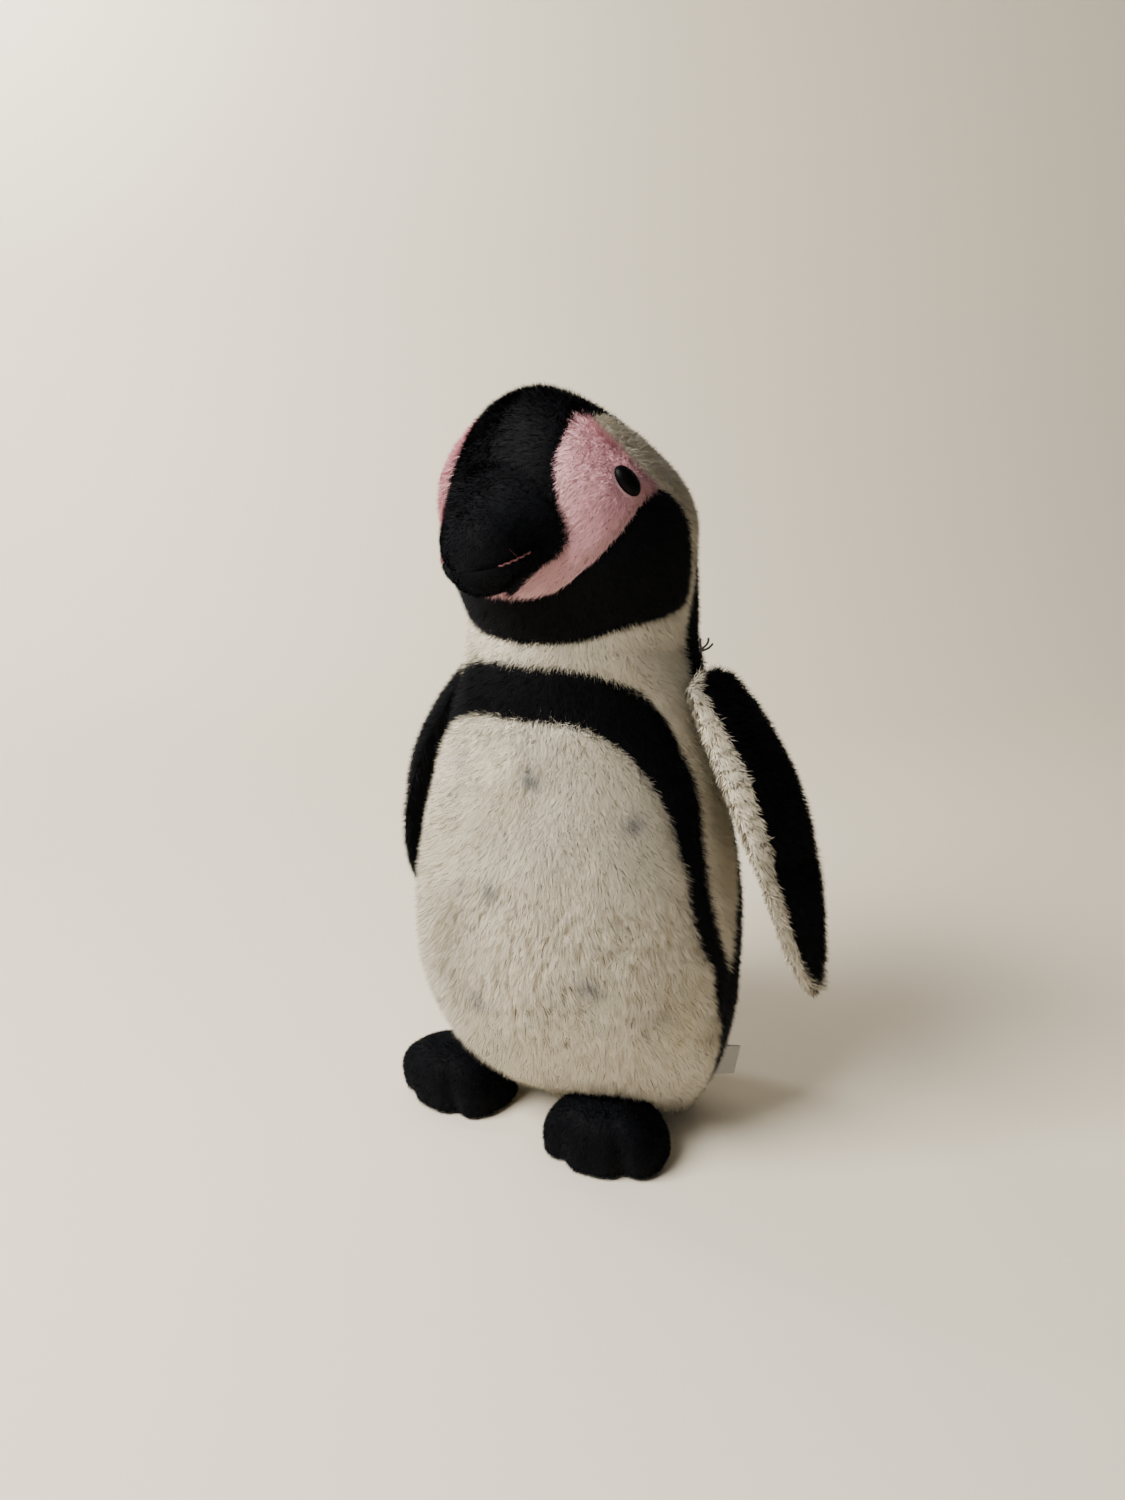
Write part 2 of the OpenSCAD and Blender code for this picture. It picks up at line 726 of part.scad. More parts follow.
at_shoulder(left_wing_rest) wing_inner();  // left_wing_inner
at_shoulder(left_wing_rest) wing_stuffing();  // left_wing_stuffing
at_shoulder(left_wing_rest) wing_seam();  // left_wing_seam
mirror([1, 0, 0]) at_shoulder(right_wing_rest) wing_outer();  // right_wing_outer
mirror([1, 0, 0]) at_shoulder(right_wing_rest) wing_inner();  // right_wing_inner
mirror([1, 0, 0]) at_shoulder(right_wing_rest) wing_stuffing();  // right_wing_stuffing
mirror([1, 0, 0]) at_shoulder(right_wing_rest) wing_seam();  // right_wing_seam
at_ankle(left_foot_out) foot_upper();  // left_foot_upper
at_ankle(left_foot_out) foot_sole();  // left_foot_sole
at_ankle(left_foot_out) foot_stuffing();  // left_foot_stuffing
at_ankle(left_foot_out) foot_seam();  // left_foot_seam
mirror([1, 0, 0]) at_ankle(right_foot_out) foot_upper();  // right_foot_upper
mirror([1, 0, 0]) at_ankle(right_foot_out) foot_sole();  // right_foot_sole
mirror([1, 0, 0]) at_ankle(right_foot_out) foot_stuffing();  // right_foot_stuffing
mirror([1, 0, 0]) at_ankle(right_foot_out) foot_seam();  // right_foot_seam
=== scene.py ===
"""Visual model of the standing plush penguin, built round its packed CAD frame.

The fabric panels follow the same seams as the CAD skin. Each panel is a backing surface with pile: thousands
of small straight or bent tufts that are combed, clumped and tinted by formula. Lengths are in millimetres
until a mesh is made. Front is -Y, up is +Z, its left is +X.
"""

from math import radians

import bpy
import numpy as np
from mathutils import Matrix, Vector


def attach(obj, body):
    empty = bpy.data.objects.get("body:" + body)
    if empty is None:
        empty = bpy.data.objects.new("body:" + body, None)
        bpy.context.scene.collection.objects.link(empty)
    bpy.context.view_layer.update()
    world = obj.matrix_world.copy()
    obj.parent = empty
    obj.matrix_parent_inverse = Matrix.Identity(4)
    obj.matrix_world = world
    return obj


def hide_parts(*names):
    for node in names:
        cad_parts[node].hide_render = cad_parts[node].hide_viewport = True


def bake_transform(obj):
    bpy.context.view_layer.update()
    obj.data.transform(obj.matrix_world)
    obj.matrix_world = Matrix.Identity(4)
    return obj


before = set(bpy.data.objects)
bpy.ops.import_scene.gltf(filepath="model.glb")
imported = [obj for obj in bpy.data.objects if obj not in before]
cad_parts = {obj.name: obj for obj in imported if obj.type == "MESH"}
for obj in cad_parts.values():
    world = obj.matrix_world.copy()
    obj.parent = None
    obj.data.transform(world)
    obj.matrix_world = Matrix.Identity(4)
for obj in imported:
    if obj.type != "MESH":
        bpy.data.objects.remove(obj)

bl_info = {
    "name": "Plush penguin",
    "version": (1, 0, 0),
    "blender": (4, 5, 0),
    "location": "View3D > Sidebar > Penguin",
    "description": "Builds the pile-fabric skin, face and stage of a plush penguin",
    "category": "Add Mesh",
}

MM = 0.001
PILE = "pile"  # name of the colour attribute that holds each tuft's tint

# ---- shapes, in millimetres, the same as in the CAD source

NECK_Z = 195.0
HEAD_Z = 237.0
HEAD_R = 46.0
NECK_R = 42.5
CROWN_H = 46.5
HEAD_FORWARD = 10.0
CROWN_LEAN = 0.41
NECK_DOWN = np.degrees(np.arcsin((HEAD_Z - NECK_Z) / CROWN_H))
RIM = 3 / NECK_Z
# Share of the neck's height, half width, middle, half depth
BODY = np.array([
    [0.00, 40.3, 17.0, 20.9],
    [0.05, 46.8, 14.0, 25.3],
    [0.13, 55.2, 6.0, 41.2],
    [0.23, 61.8, 0.0, 49.0],
    [0.33, 65.0, -3.0, 53.9],
    [0.51, 65.0, -4.0, 55.0],
    [0.74, 55.9, -3.0, 50.0],
    [0.90, 47.5, -1.0, 44.9],
    [1.00, 42.5, 0.0, 42.5],
])
# Seams on the body: angle from the front, share of the neck's height
SIDE_SEAM = [[97, RIM], [96, 0.12], [91, 0.27]]
INNER_ARCH = [[91, 0.27], [85, 0.33], [79, 0.42], [71, 0.51], [68, 0.62], [62, 0.74], [47, 0.835],
              [26, 0.877], [0, 0.885]]
LOW_SEAM = [[91, 0.27], [96, 0.38]]
OUTER_ARCH = [[96, 0.38], [88, 0.44], [81, 0.54], [80, 0.64], [82, 0.72], [78, 0.80], [70, 0.88], [55, 0.94],
              [30, 0.973], [0, 0.98]]
BACK_SEAM = [[96, 0.38], [98, 0.46], [104, 0.54], [110, 0.62], [112, 0.72], [106, 0.81], [96, 0.91],
             [92, 1.0]]
NECK_SEAM = [[92, 1.0], [0, 1.0]]
# Seams on the head: angle from the front, angle above the head's middle
CROWN_SEAM = [[0, -31], [10, -24], [20, -15], [27, -4], [31, 8], [32, 20], [37, 35], [57, 51], [78, 54]]
TOP_SEAM = [[78, 54], [100, 55]]
JAW_TOP = [[0, -31], [13, -30], [27, -25], [40, -15], [51, -5.5], [62, 4.5], [76, 14], [86, 17]]
BROW_SEAM = [[86, 17], [82, 25], [79, 34], [77, 46], [78, 54]]
JAW_LOW = [[0, -57], [28, -54], [52, -46], [80, -40], [95, -33], [101, -15], [99, 0], [94, 10], [86, 17]]
THROAT_SEAM = [[0, -NECK_DOWN], [92, -NECK_DOWN]]
NAPE_SEAM = [[92, -NECK_DOWN], [97, -45], [110, -25], [124, -3], [131, 18], [124, 40], [100, 55]]
NAPE_TOP = 105.0
EYE = (66.0, 20.0)
EYE_HALF_W = 3.7
EYE_HALF_H = 5.8
EYE_TILT = radians(14)
MIRROR = np.array([-1.0, 1.0, 1.0])


def unit(v):
    """The vectors, each with length one."""
    return v / np.maximum(np.linalg.norm(v, axis=-1, keepdims=True), 1e-9)


def mix(a, b, t):
    """A blend from a to b as t goes from 0 to 1."""
    return a * (1 - t) + b * t


def step(low, high, x):
    """0 below low, 1 above high, and a smooth ramp between them."""
    t = np.clip((x - low) / (high - low), 0, 1)
    return t * t * (3 - 2 * t)


def spread(points, n):
    """n + 1 points spread along the smooth curve through a list of points."""
    p = np.asarray(points, float)
    m = len(p) - 1
    u = np.linspace(0, m, n + 1)
    i = np.minimum(u.astype(int), m - 1)
    t = (u - i)[:, None]
    b, c = p[i], p[i + 1]
    a = np.where((i == 0)[:, None], 2 * b - c, p[np.maximum(i - 1, 0)])
    d = np.where((i == m - 1)[:, None], 2 * c - b, p[np.minimum(i + 2, m)])
    return 0.5 * (2 * b + (c - a) * t + (2 * a - 5 * b + 4 * c - d) * t**2 + (3 * b - a - 3 * c + d) * t**3)


def chain(*curves):
    """Point lists joined at their common ends."""
    return np.concatenate([curves[0]] + [c[1:] for c in curves[1:]])


def table_value(x, k):
    """Column k of the body's table at height share x, as a smooth curve through its rows."""
    t = BODY
    i = np.clip(np.searchsorted(t[:, 0], x, side="right") - 1, 0, len(t) - 2)
    low, high = np.maximum(i - 1, 0), np.minimum(i + 1, len(t) - 1)
    slope_a = (t[high, k] - t[low, k]) / (t[high, 0] - t[low, 0])
    low, high = i, np.minimum(i + 2, len(t) - 1)
    slope_b = (t[high, k] - t[low, k]) / (t[high, 0] - t[low, 0])
    h = t[i + 1, 0] - t[i, 0]
    s = (x - t[i, 0]) / h
    return ((1 + 2 * s) * (1 - s) ** 2 * t[i, k] + s * (1 - s) ** 2 * h * slope_a
            + s * s * (3 - 2 * s) * t[i + 1, k] - s * s * (1 - s) * h * slope_b)


def body_at(p):
    """The body's surface at (angle, height share): an ellipse, axes and middle changing with the height."""
    a, x = np.radians(p[..., 0]), p[..., 1]
    w, d = table_value(x, 1), table_value(x, 3)
    return np.stack([w * np.sin(a), table_value(x, 2) - d * np.cos(a), x * NECK_Z], -1)


def body_surface(p):
    """Places and outward normals on the body."""
    da, dx = np.array([0.5, 0]), np.array([0, 0.004])
    up = body_at(p + dx) - body_at(p - dx)
    return body_at(p), unit(np.cross(body_at(p + da) - body_at(p - da), up))


def aim(p):
    """Unit directions from the head's middle, from (angle, elevation) in degrees."""
    a, e = np.radians(p[..., 0]), np.radians(p[..., 1])
    return np.stack([np.cos(e) * np.sin(a), -np.cos(e) * np.cos(a), np.sin(e)], -1)


def head_at(direction):
    """The head's surface in a direction: a rounded cone above the middle and a waist below it."""
    v = unit(direction)
    q = v[..., 2]
    flat = np.maximum(np.hypot(v[..., 0], v[..., 1]), 1e-6)
    u = np.clip(-q / np.sin(np.radians(NECK_DOWN)), 0, 1)
    waist = u * u * (3 - 2 * u)
    round_top = np.clip(1 - np.clip(q, 0, 1) ** 1.8, 0, None) ** (1 / 1.8) * (1 - 0.13 * step(0.25, 0.95, q))
    side = np.where(q >= 0, HEAD_R * round_top, mix(HEAD_R, NECK_R, waist))
    rise = CROWN_H * q
    middle = np.where(q >= 0, -HEAD_FORWARD - CROWN_LEAN * rise, -HEAD_FORWARD * (1 - waist))
    return np.stack([side * v[..., 0] / flat, middle + side * v[..., 1] / flat, HEAD_Z + rise], -1)


def head_surface(v):
    """Places and outward normals on the head."""
    v = unit(v)
    helper = np.where(np.abs(v[..., 2:]) > 0.9, np.array([1.0, 0, 0]), np.array([0, 0, 1.0]))
    t1 = unit(np.cross(helper, v))
    t2 = np.cross(v, t1)
    d1 = head_at(v + 0.02 * t1) - head_at(v - 0.02 * t1)
    d2 = head_at(v + 0.02 * t2) - head_at(v - 0.02 * t2)
    return head_at(v), unit(np.cross(d1, d2))


def steer(a, b, t):
    """Directions between two others, at the matching height between theirs."""
    h = mix(a, b, t)
    e = mix(np.arcsin(np.clip(a[..., 2], -1, 1)), np.arcsin(np.clip(b[..., 2], -1, 1)), t[..., 0])
    turn = np.arctan2(h[..., 0], -h[..., 1])
    return aim(np.stack([np.degrees(turn), np.degrees(e)], -1))


# ---- randomness that depends only on a place and a seed


def lattice(i, seed):
    """One number from 0 to 1 for each whole-number point."""
    h = i[..., 0] * 374761393 + i[..., 1] * 668265263 + i[..., 2] * 1440662683 + seed * 974634777
    h = h & 0xFFFFFFFF
    h = ((h ^ (h >> 13)) * 1274126177) & 0xFFFFFFFF
    h = ((h ^ (h >> 16)) * 2246822519) & 0xFFFFFFFF
    return ((h ^ (h >> 15)) & 0xFFFFFF) / 0xFFFFFF


def noise(p, size, seed):
    """Smooth noise from -1 to 1 with bumps of about that size."""
    q = p / size
    i = np.floor(q).astype(np.int64)
    f = q - i
    f = f * f * (3 - 2 * f)
    total = 0
    for x in (0, 1):
        for y in (0, 1):
            for z in (0, 1):
                weight = (np.where(x, f[..., 0], 1 - f[..., 0]) * np.where(y, f[..., 1], 1 - f[..., 1])
                          * np.where(z, f[..., 2], 1 - f[..., 2]))
                total = total + weight * lattice(i + np.array([x, y, z]), seed)
    return 2 * total - 1


def vector_noise(p, size, seed):
    """Three smooth noises side by side."""
    return np.stack([noise(p, size, seed + k) for k in range(3)], -1)


def clumps(p, size, seed):
    """The nearest of many scattered clump middles, and a random number for each clump."""
    i = np.floor(p / size).astype(np.int64)
    best = np.full(len(p), 1e9)
    middle = np.zeros_like(p)
    chance = np.zeros(len(p))
    for x in (-1, 0, 1):
        for y in (-1, 0, 1):
            for z in (-1, 0, 1):
                j = i + np.array([x, y, z])
                c = (j + np.stack([lattice(j, seed + k) for k in range(3)], -1)) * size
                d = ((c - p) ** 2).sum(-1)
                near = d < best
                best = np.where(near, d, best)
                middle = np.where(near[:, None], c, middle)
                chance = np.where(near, lattice(j, seed + 7), chance)
    return middle, chance


# ---- meshes


def new_object(name, points, faces, material, normals=None, tint=None, uv=None):
    """A smooth-shaded mesh object from whole arrays, at the origin. faces lists (n, 3) and (n, 4) arrays."""
    mesh = bpy.data.meshes.new(name)
    loops = np.concatenate([f.ravel() for f in faces]).astype(np.int32)
    sizes = np.concatenate([np.full(len(f), f.shape[1]) for f in faces])
    starts = np.concatenate([[0], np.cumsum(sizes)[:-1]]).astype(np.int32)
    mesh.vertices.add(len(points))
    mesh.vertices.foreach_set("co", (points * MM).astype(np.float32).ravel())
    mesh.loops.add(len(loops))
    mesh.loops.foreach_set("vertex_index", loops)
    mesh.polygons.add(len(sizes))
    mesh.polygons.foreach_set("loop_start", starts)
    mesh.polygons.foreach_set("use_smooth", np.ones(len(sizes), bool))
    if uv is not None:
        layer = mesh.uv_layers.new(name="OFBake")
        layer.data.foreach_set("uv", uv[loops].astype(np.float32).ravel())
    mesh.update(calc_edges=True)
    if tint is not None:
        colours = np.concatenate([tint, np.ones((len(tint), 1))], 1).astype(np.float32)
        attribute = mesh.color_attributes.new(PILE, "FLOAT_COLOR", "POINT")
        attribute.data.foreach_set("color", colours.ravel())
    if normals is not None:
        mesh.normals_split_custom_set_from_vertices(unit(normals).astype(np.float32))
    mesh.materials.append(material)
    o = bpy.data.objects.new(name, mesh)
    bpy.context.scene.collection.objects.link(o)
    return o


def grid_faces(rows, cols, start=0, closed=False):
    """Quads of a grid of points stored row by row; closed joins the last column to the first."""
    i = np.arange(rows - 1)[:, None] * cols
    j = np.arange(cols if closed else cols - 1)[None, :]
    k = (j + 1) % cols
    return start + np.stack([i + j, i + k, i + cols + k, i + cols + j], -1).reshape(-1, 4)


class Patch:
    """A grid of places with outward normals. Rows go up and columns go to the right, seen from outside."""

    def __init__(self, places, normals, flip=False):
        self.p, self.n = places, normals
        if flip:
            self.p, self.n = places[:, ::-1], normals[:, ::-1]

    def mirrored(self):
        """The same patch on the other side of the middle plane."""
        return Patch(self.p * MIRROR, self.n * MIRROR, flip=True)

    def sunk(self, depth):
        """The patch moved inwards along its normals."""
        return Patch(self.p - self.n * depth[..., None], self.n)

    def bent_normals(self):
        """Normals that follow the patch's own bumps."""
        du = np.gradient(self.p, axis=1)
        dv = np.gradient(self.p, axis=0)
        n = np.cross(du, dv)
        weak = np.linalg.norm(n, axis=-1, keepdims=True) < 1e-7
        return np.where(weak, self.n, unit(n))

    def scatter(self, per_mm2, rng):
        """Random places on the patch with even density: cells are drawn by area, then a place in each."""
        a = self.p[1:, 1:] - self.p[:-1, :-1]
        b = self.p[1:, :-1] - self.p[:-1, 1:]
        area = 0.5 * np.linalg.norm(np.cross(a, b), axis=-1).ravel()
        count = int(area.sum() * per_mm2)
        cell = np.searchsorted(np.cumsum(area), rng.random(count) * area.sum())
        cell = np.minimum(cell, len(area) - 1)
        i, j = np.divmod(cell, self.p.shape[1] - 1)
        s, t = rng.random((2, count, 1))
        pick = lambda g: mix(mix(g[i, j], g[i, j + 1], s), mix(g[i + 1, j], g[i + 1, j + 1], s), t)
        return pick(self.p), unit(pick(self.n))


def body_patch(a, b, cols):
    """A patch of the body between two seams with the same number of points."""
    t = np.linspace(0, 1, cols)[None, :, None]
    return Patch(*body_surface(mix(a[:, None], b[:, None], t)))


def head_patch(a, b, cols):
    """A patch of the head between two rows of directions."""
    t = np.linspace(0, 1, cols)[None, :, None]
    a, b = np.broadcast_arrays(a[:, None], b[:, None])
    return Patch(*head_surface(steer(a, b, t)))


# ---- pile

FLOOR_GAP = 0.25  # the pile's least height above the ground
STANDING = 0.24  # share of the tufts that stand up out of the lay
STAND_UP = 24  # how many degrees they stand up by
SWIRL = 0.45  # slow and quick disorder in the comb direction
STRAY = 0.3
LAY_SPREAD = 11  # spread of the lay angle, in degrees
BEND_BY = 24  # how far a tuft leans over past its bend, and that angle's spread
BEND_SPREAD = 8
FLATTEST = 84
BEND_AT = 0.48  # share of the length below the bend
GAP_SHADE = 0.45  # painted shade: how much darker a tuft between clumps is
GAP_SHADE_WARMTH = np.array([0.0, 0.10, 0.28])  # painted shade: how much green and blue a tuft between clumps loses, so the shade there is warmer


def seam_points():
    """Points along every seam between panels, on both sides."""
    body = [body_at(spread(s, 60)) for s in (SIDE_SEAM, INNER_ARCH, LOW_SEAM, OUTER_ARCH, BACK_SEAM)]
    on_head = (CROWN_SEAM, TOP_SEAM, JAW_TOP, BROW_SEAM, JAW_LOW, NAPE_SEAM)
    head = [head_at(aim(spread(s, 60))) for s in on_head]
    p = np.concatenate(body + head)
    return np.concatenate([p, p * MIRROR])


SEAMS = seam_points()


def nearest(p, cloud):
    """Distance of each place to the nearest point of a cloud."""
    flat = p.reshape(-1, 3)
    out = np.empty(len(flat))
    for k in range(0, len(flat), 4000):
        part = flat[k:k + 4000]
        out[k:k + 4000] = np.sqrt(((part[:, None] - cloud[None]) ** 2).sum(-1).min(1))
    return out.reshape(p.shape[:-1])


def eye_frame(side):
    """Middle, outward, upward and sideways directions of an eye; side is 1 for left and -1 for right."""
    out = head_surface(aim(np.array(EYE)))
    up = head_at(aim(np.array([EYE[0], EYE[1] + 2]))) - out[0]
    up = unit(up - (up @ out[1]) * out[1])
    flip = np.array([side, 1.0, 1.0])
    return out[0] * flip, out[1] * flip, up * flip, np.cross(up, out[1]) * flip


def eye_distance(p):
    """Distance to the nearer eye, measured in its oval: 1 is the oval's edge."""
    best = np.full(p.shape[:-1], 99.0)
    for side in (1, -1):
        middle, _, up, along = eye_frame(side)
        d = p - middle
        x, y = d @ along, d @ up
        c, s = np.cos(EYE_TILT), np.sin(EYE_TILT)
        x, y = c * x + s * y, -s * x + c * y
        r = np.sqrt((x / EYE_HALF_W) ** 2 + (y / EYE_HALF_H) ** 2)
        best = np.minimum(best, np.where(np.linalg.norm(d, axis=-1) < 30, r, 99))
    return best


def pile_length(p, settings):
    """Length of the pile: short on the head, longer down the body, longest low on the belly."""
    z = p[..., 2]
    low = step(140, 70, z) * step(10, -25, p[..., 1])
    body = mix(settings.body_pile / MM, settings.belly_pile / MM, low)
    return mix(body, settings.head_pile / MM, step(188, 214, z))


def tuft_mesh(root, normal, comb, length, width, lay, clump_size, clumping, tint, rng, seed, bent):
    """Pointed tufts. Each rises at the lay angle from the normal, leans towards its comb direction, and its
    tip leans towards the middle of its clump. Tufts between clumps are darker. A bent one has a middle edge
    where it turns."""
    count = len(root)
    comb = comb + SWIRL * vector_noise(root, 8, seed + 20) + STRAY * rng.normal(size=(count, 3))
    comb = unit(comb - (comb * normal).sum(-1, keepdims=True) * normal)
    stand = rng.random(count) < STANDING
    angle = np.radians(lay + LAY_SPREAD * rng.normal(size=count) - STAND_UP * stand)[:, None]
    over = angle + np.radians(BEND_BY + BEND_SPREAD * rng.normal(size=count))[:, None]
    over = np.minimum(over, radians(FLATTEST))
    length = (length * rng.uniform(0.72, 1.12, count))[:, None]
    first = normal * np.cos(angle) + comb * np.sin(angle)
    second = normal * np.cos(over) + comb * np.sin(over)
    bend = root + first * length * BEND_AT
    tip = bend + second * length * (1 - BEND_AT)
    middle, chance = clumps(root, clump_size, seed)
    middle = middle - ((middle - root) * normal).sum(-1, keepdims=True) * normal
    gap = step(0.28, 0.8, np.linalg.norm(middle - root, axis=-1) / clump_size)
    goal = middle + (normal * 0.42 + comb * 0.62) * length
    pull = (clumping * (0.5 + 0.5 * chance))[:, None]
    tip = mix(tip, goal, pull)
    bend = mix(bend, mix(root, goal, 0.5), 0.45 * pull)
    side = unit(np.cross(first, normal) + 0.35 * rng.normal(size=(count, 3)))
    half = (width * rng.uniform(0.7, 1.25, count))[:, None] / 2
    # painted shade and light along each tuft: darker at the root, a little lighter at the tip
    if bent:
        wide = side * half * 0.85
        points = [root - side * half, root + side * half, bend + wide, bend - wide, tip]
        shade = np.array([0.87, 0.87, 0.97, 0.97, 1.03])
    else:
        points = [root - side * half, root + side * half, tip]
        shade = np.array([0.87, 0.87, 1.03])
    points = np.stack(points, 1)
    roll = 0.24 * side[:, None] * rng.uniform(-1, 1, (count, 1, 1))
    up = unit(normal[:, None] + roll + 0.16 * second[:, None])
    up = np.broadcast_to(up, points.shape)
    vary = 1 + 0.035 * rng.normal(size=count) + 0.08 * (chance - 0.5)
    # painted shade between clumps: these tufts are made darker and warmer
    vary = vary * (1 - GAP_SHADE * pull[:, 0] * gap)
    warm = 1 - (GAP_SHADE_WARMTH * (pull * gap[:, None]))
    colour = np.clip((tint * warm * vary[:, None])[:, None] * shade[None, :, None], 0, 1)
    return points.reshape(-1, 3), up.reshape(-1, 3), colour.reshape(-1, 3)


def tuft_faces(count, start, bent):
    """A quad and a triangle for each bent tuft, a triangle for each straight one."""
    if not bent:
        return [start + np.arange(3 * count).reshape(-1, 3)]
    i = start + 5 * np.arange(count)[:, None]
    return [i + np.array([0, 1, 2, 3]), i + np.array([3, 2, 4])]


def bake_map(grid_shapes, tufts, bent):
    """UVs in which every backing grid and every tuft has its own cell."""
    parts = []
    for k, (rows, cols) in enumerate(grid_shapes):
        v, u = np.meshgrid(np.linspace(0, 1, rows), np.linspace(0, 1, cols), indexing="ij")
        width = 1 / len(grid_shapes)
        parts.append(np.stack([(k + 0.02 + 0.96 * u) * width, 0.005 + 0.17 * v], -1).reshape(-1, 2))
    if tufts:
        side = int(np.ceil(np.sqrt(tufts / 0.8)))
        i, j = np.divmod(np.arange(tufts), side)
        cell = np.array([[0.15, 0.15], [0.85, 0.15], [0.85, 0.5], [0.15, 0.5], [0.5, 0.85]])
        cell = cell if bent else cell[[0, 1, 4]]
        corner = np.stack([j, i], -1)[:, None] + cell
        parts.append((corner / side + np.array([0, 0.2])).reshape(-1, 2).clip(0, 1))
    return np.concatenate(parts)


def plush(name, patches, settings, material, tint, comb, seed, density, length=None, lay=46.0, clump_size=4.5,
          clumping=0.35, width=0.5, groove=1.2, share=0.42, backing=0.8, bent=False):
    """One panel of pile fabric: its backing, sunk by part of the pile's length and grooved along the seams,
    and its tufts. tint and comb are functions of place and normal."""
    rng = np.random.default_rng(seed)
    size = length or (lambda p: pile_length(p, settings))
    points, normals, colours, faces, shapes = [], [], [], [], []
    roots, root_normals = [], []
    start = 0
    for patch in patches:
        depth = share * size(patch.p) - 0.3 * noise(patch.p, 22, seed + 3)
        if groove:
            depth = depth + groove * np.exp(-(nearest(patch.p, SEAMS) / 2.4) ** 2)
        eye = eye_distance(patch.p)
        depth = depth + 1.3 * np.exp(-(eye / 1.9) ** 2)
        if callable(clumping):
            flat = patch.p.reshape(-1, 3)
            away = np.linalg.norm(clumps(flat, clump_size, seed)[0] - flat, axis=-1) / clump_size
            depth = depth + 1.1 * clumping(patch.p) * step(0.25, 0.85, away.reshape(depth.shape))
        sunk = patch.sunk(depth)
        sunk.n = sunk.bent_normals()
        rows, cols = sunk.p.shape[:2]
        points.append(sunk.p.reshape(-1, 3))
        normals.append(sunk.n.reshape(-1, 3))
        # painted shade under the pile: the backing takes its panel's tint darkened by the factor backing
        colours.append(np.clip(tint(points[-1], normals[-1]) * backing, 0, 1))
        faces.append(grid_faces(rows, cols, start))
        shapes.append((rows, cols))
        start += rows * cols
        p, n = sunk.scatter(density * settings.density, rng)
        roots.append(p)
        root_normals.append(n)
    root, normal = np.concatenate(roots), np.concatenate(root_normals)
    eye = eye_distance(root)
    keep = eye > 1.03
    root, normal, eye = root[keep], normal[keep], eye[keep]
    hair = size(root) * (1 - 0.45 * np.exp(-((eye - 1) / 0.9) ** 2))
    hair = hair * (1 + 0.12 * noise(root, 14, seed + 5))
    pull = clumping(root) if callable(clumping) else np.full(len(root), clumping)
    p, n, c = tuft_mesh(root, normal, comb(root, normal), hair, width, lay, clump_size, pull,
                        tint(root, normal), rng, seed, bent)
    faces += tuft_faces(len(root), start, bent)
    uv = bake_map(shapes, len(root), bent)
    arrays = (points + [p], normals + [n], colours + [c])
    points, normals, colours = (np.concatenate(a) for a in arrays)
    points[:, 2] = np.maximum(points[:, 2], FLOOR_GAP)
    o = new_object(name, points, faces, material, normals, colours, uv)
    return o


def seat(o, body, slot, *nodes):
    """Puts a piece on its body, or blends fabric that crosses the neck, whose part above turns with the head
    and whose part below stays with the body. Names the CAD nodes it stands for and its material slot."""
    if body == "neck":
        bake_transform(o)
    else:
        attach(o, body)
    if nodes:
        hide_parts(*nodes)


def on_side(patch, side):
    """The patch itself for the left side, 1, and its mirror image for the right side, -1."""
    return patch if side > 0 else patch.mirrored()


# ---- colours and combing


BLACK = np.array([0.0048, 0.0052, 0.0072])
WHITE = np.array([0.90, 0.835, 0.70])
PINK = np.array([0.84, 0.47, 0.54])
GREY = np.array([0.20, 0.215, 0.25])
# Airbrushed spots on the belly: place, radius and strength
SPOTS = np.array([
    [8.8, -50.8, 152.5, 3.3, 0.95],
    [-23.5, -46.2, 154.0, 3.6, 0.34],
    [42.3, -37.9, 138.0, 3.2, 0.85],
    [-3.6, -58.3, 111.0, 3.3, 0.92],
    [-18.7, -56.4, 108.0, 3.4, 0.3],
    [32.2, -51.2, 81.0, 4.0, 0.92],
    [-11.8, -56.3, 67.0, 4.0, 0.8],
    [51.6, -36.1, 68.0, 3.8, 0.42],
])


def black(p, n):
    """Black pile with a faint uneven fade."""
    fade = 1 + 0.16 * noise(p, 26, 301)
    return BLACK * fade[:, None]


def white(p, n):
    """Cream white pile, a little yellower here and there."""
    warm = step(0.1, 0.9, noise(p, 30, 311))[:, None]
    return WHITE * mix(np.ones(3), np.array([1.0, 0.985, 0.93]), warm)


def belly(p, n):
    """Cream white with airbrushed grey spots, their edges ragged."""
    colour = white(p, n)
    q = p + 1.1 * vector_noise(p, 2.2, 321)
    for x, y, z, radius, strength in SPOTS:
        d = np.linalg.norm((q - np.array([x, y, z])) * np.array([1, 0.5, 1]), axis=-1)
        colour = mix(colour, GREY * colour / WHITE, (strength * np.exp(-(d / radius) ** 2))[:, None])
    return colour


def pink(p, n):
    """Pale pink pile, lighter towards its edges."""
    edge = np.exp(-(nearest(p, SEAMS) / 4) ** 2)[:, None]
    fade = 1 + 0.05 * noise(p, 12, 331)[:, None]
    return mix(PINK * fade, mix(PINK, WHITE, 0.3), 0.5 * edge)


def down(p, n):
    """Combed straight down."""
    return np.broadcast_to(np.array([0.0, 0, -1]), p.shape)


def belly_comb(p, n):
    """Combed down and sideways, with slow swirls in the lower half."""
    low = step(130, 80, p[:, 2])[:, None]
    return np.array([0.35, 0, -1]) + low * 0.8 * vector_noise(p, 24, 341)


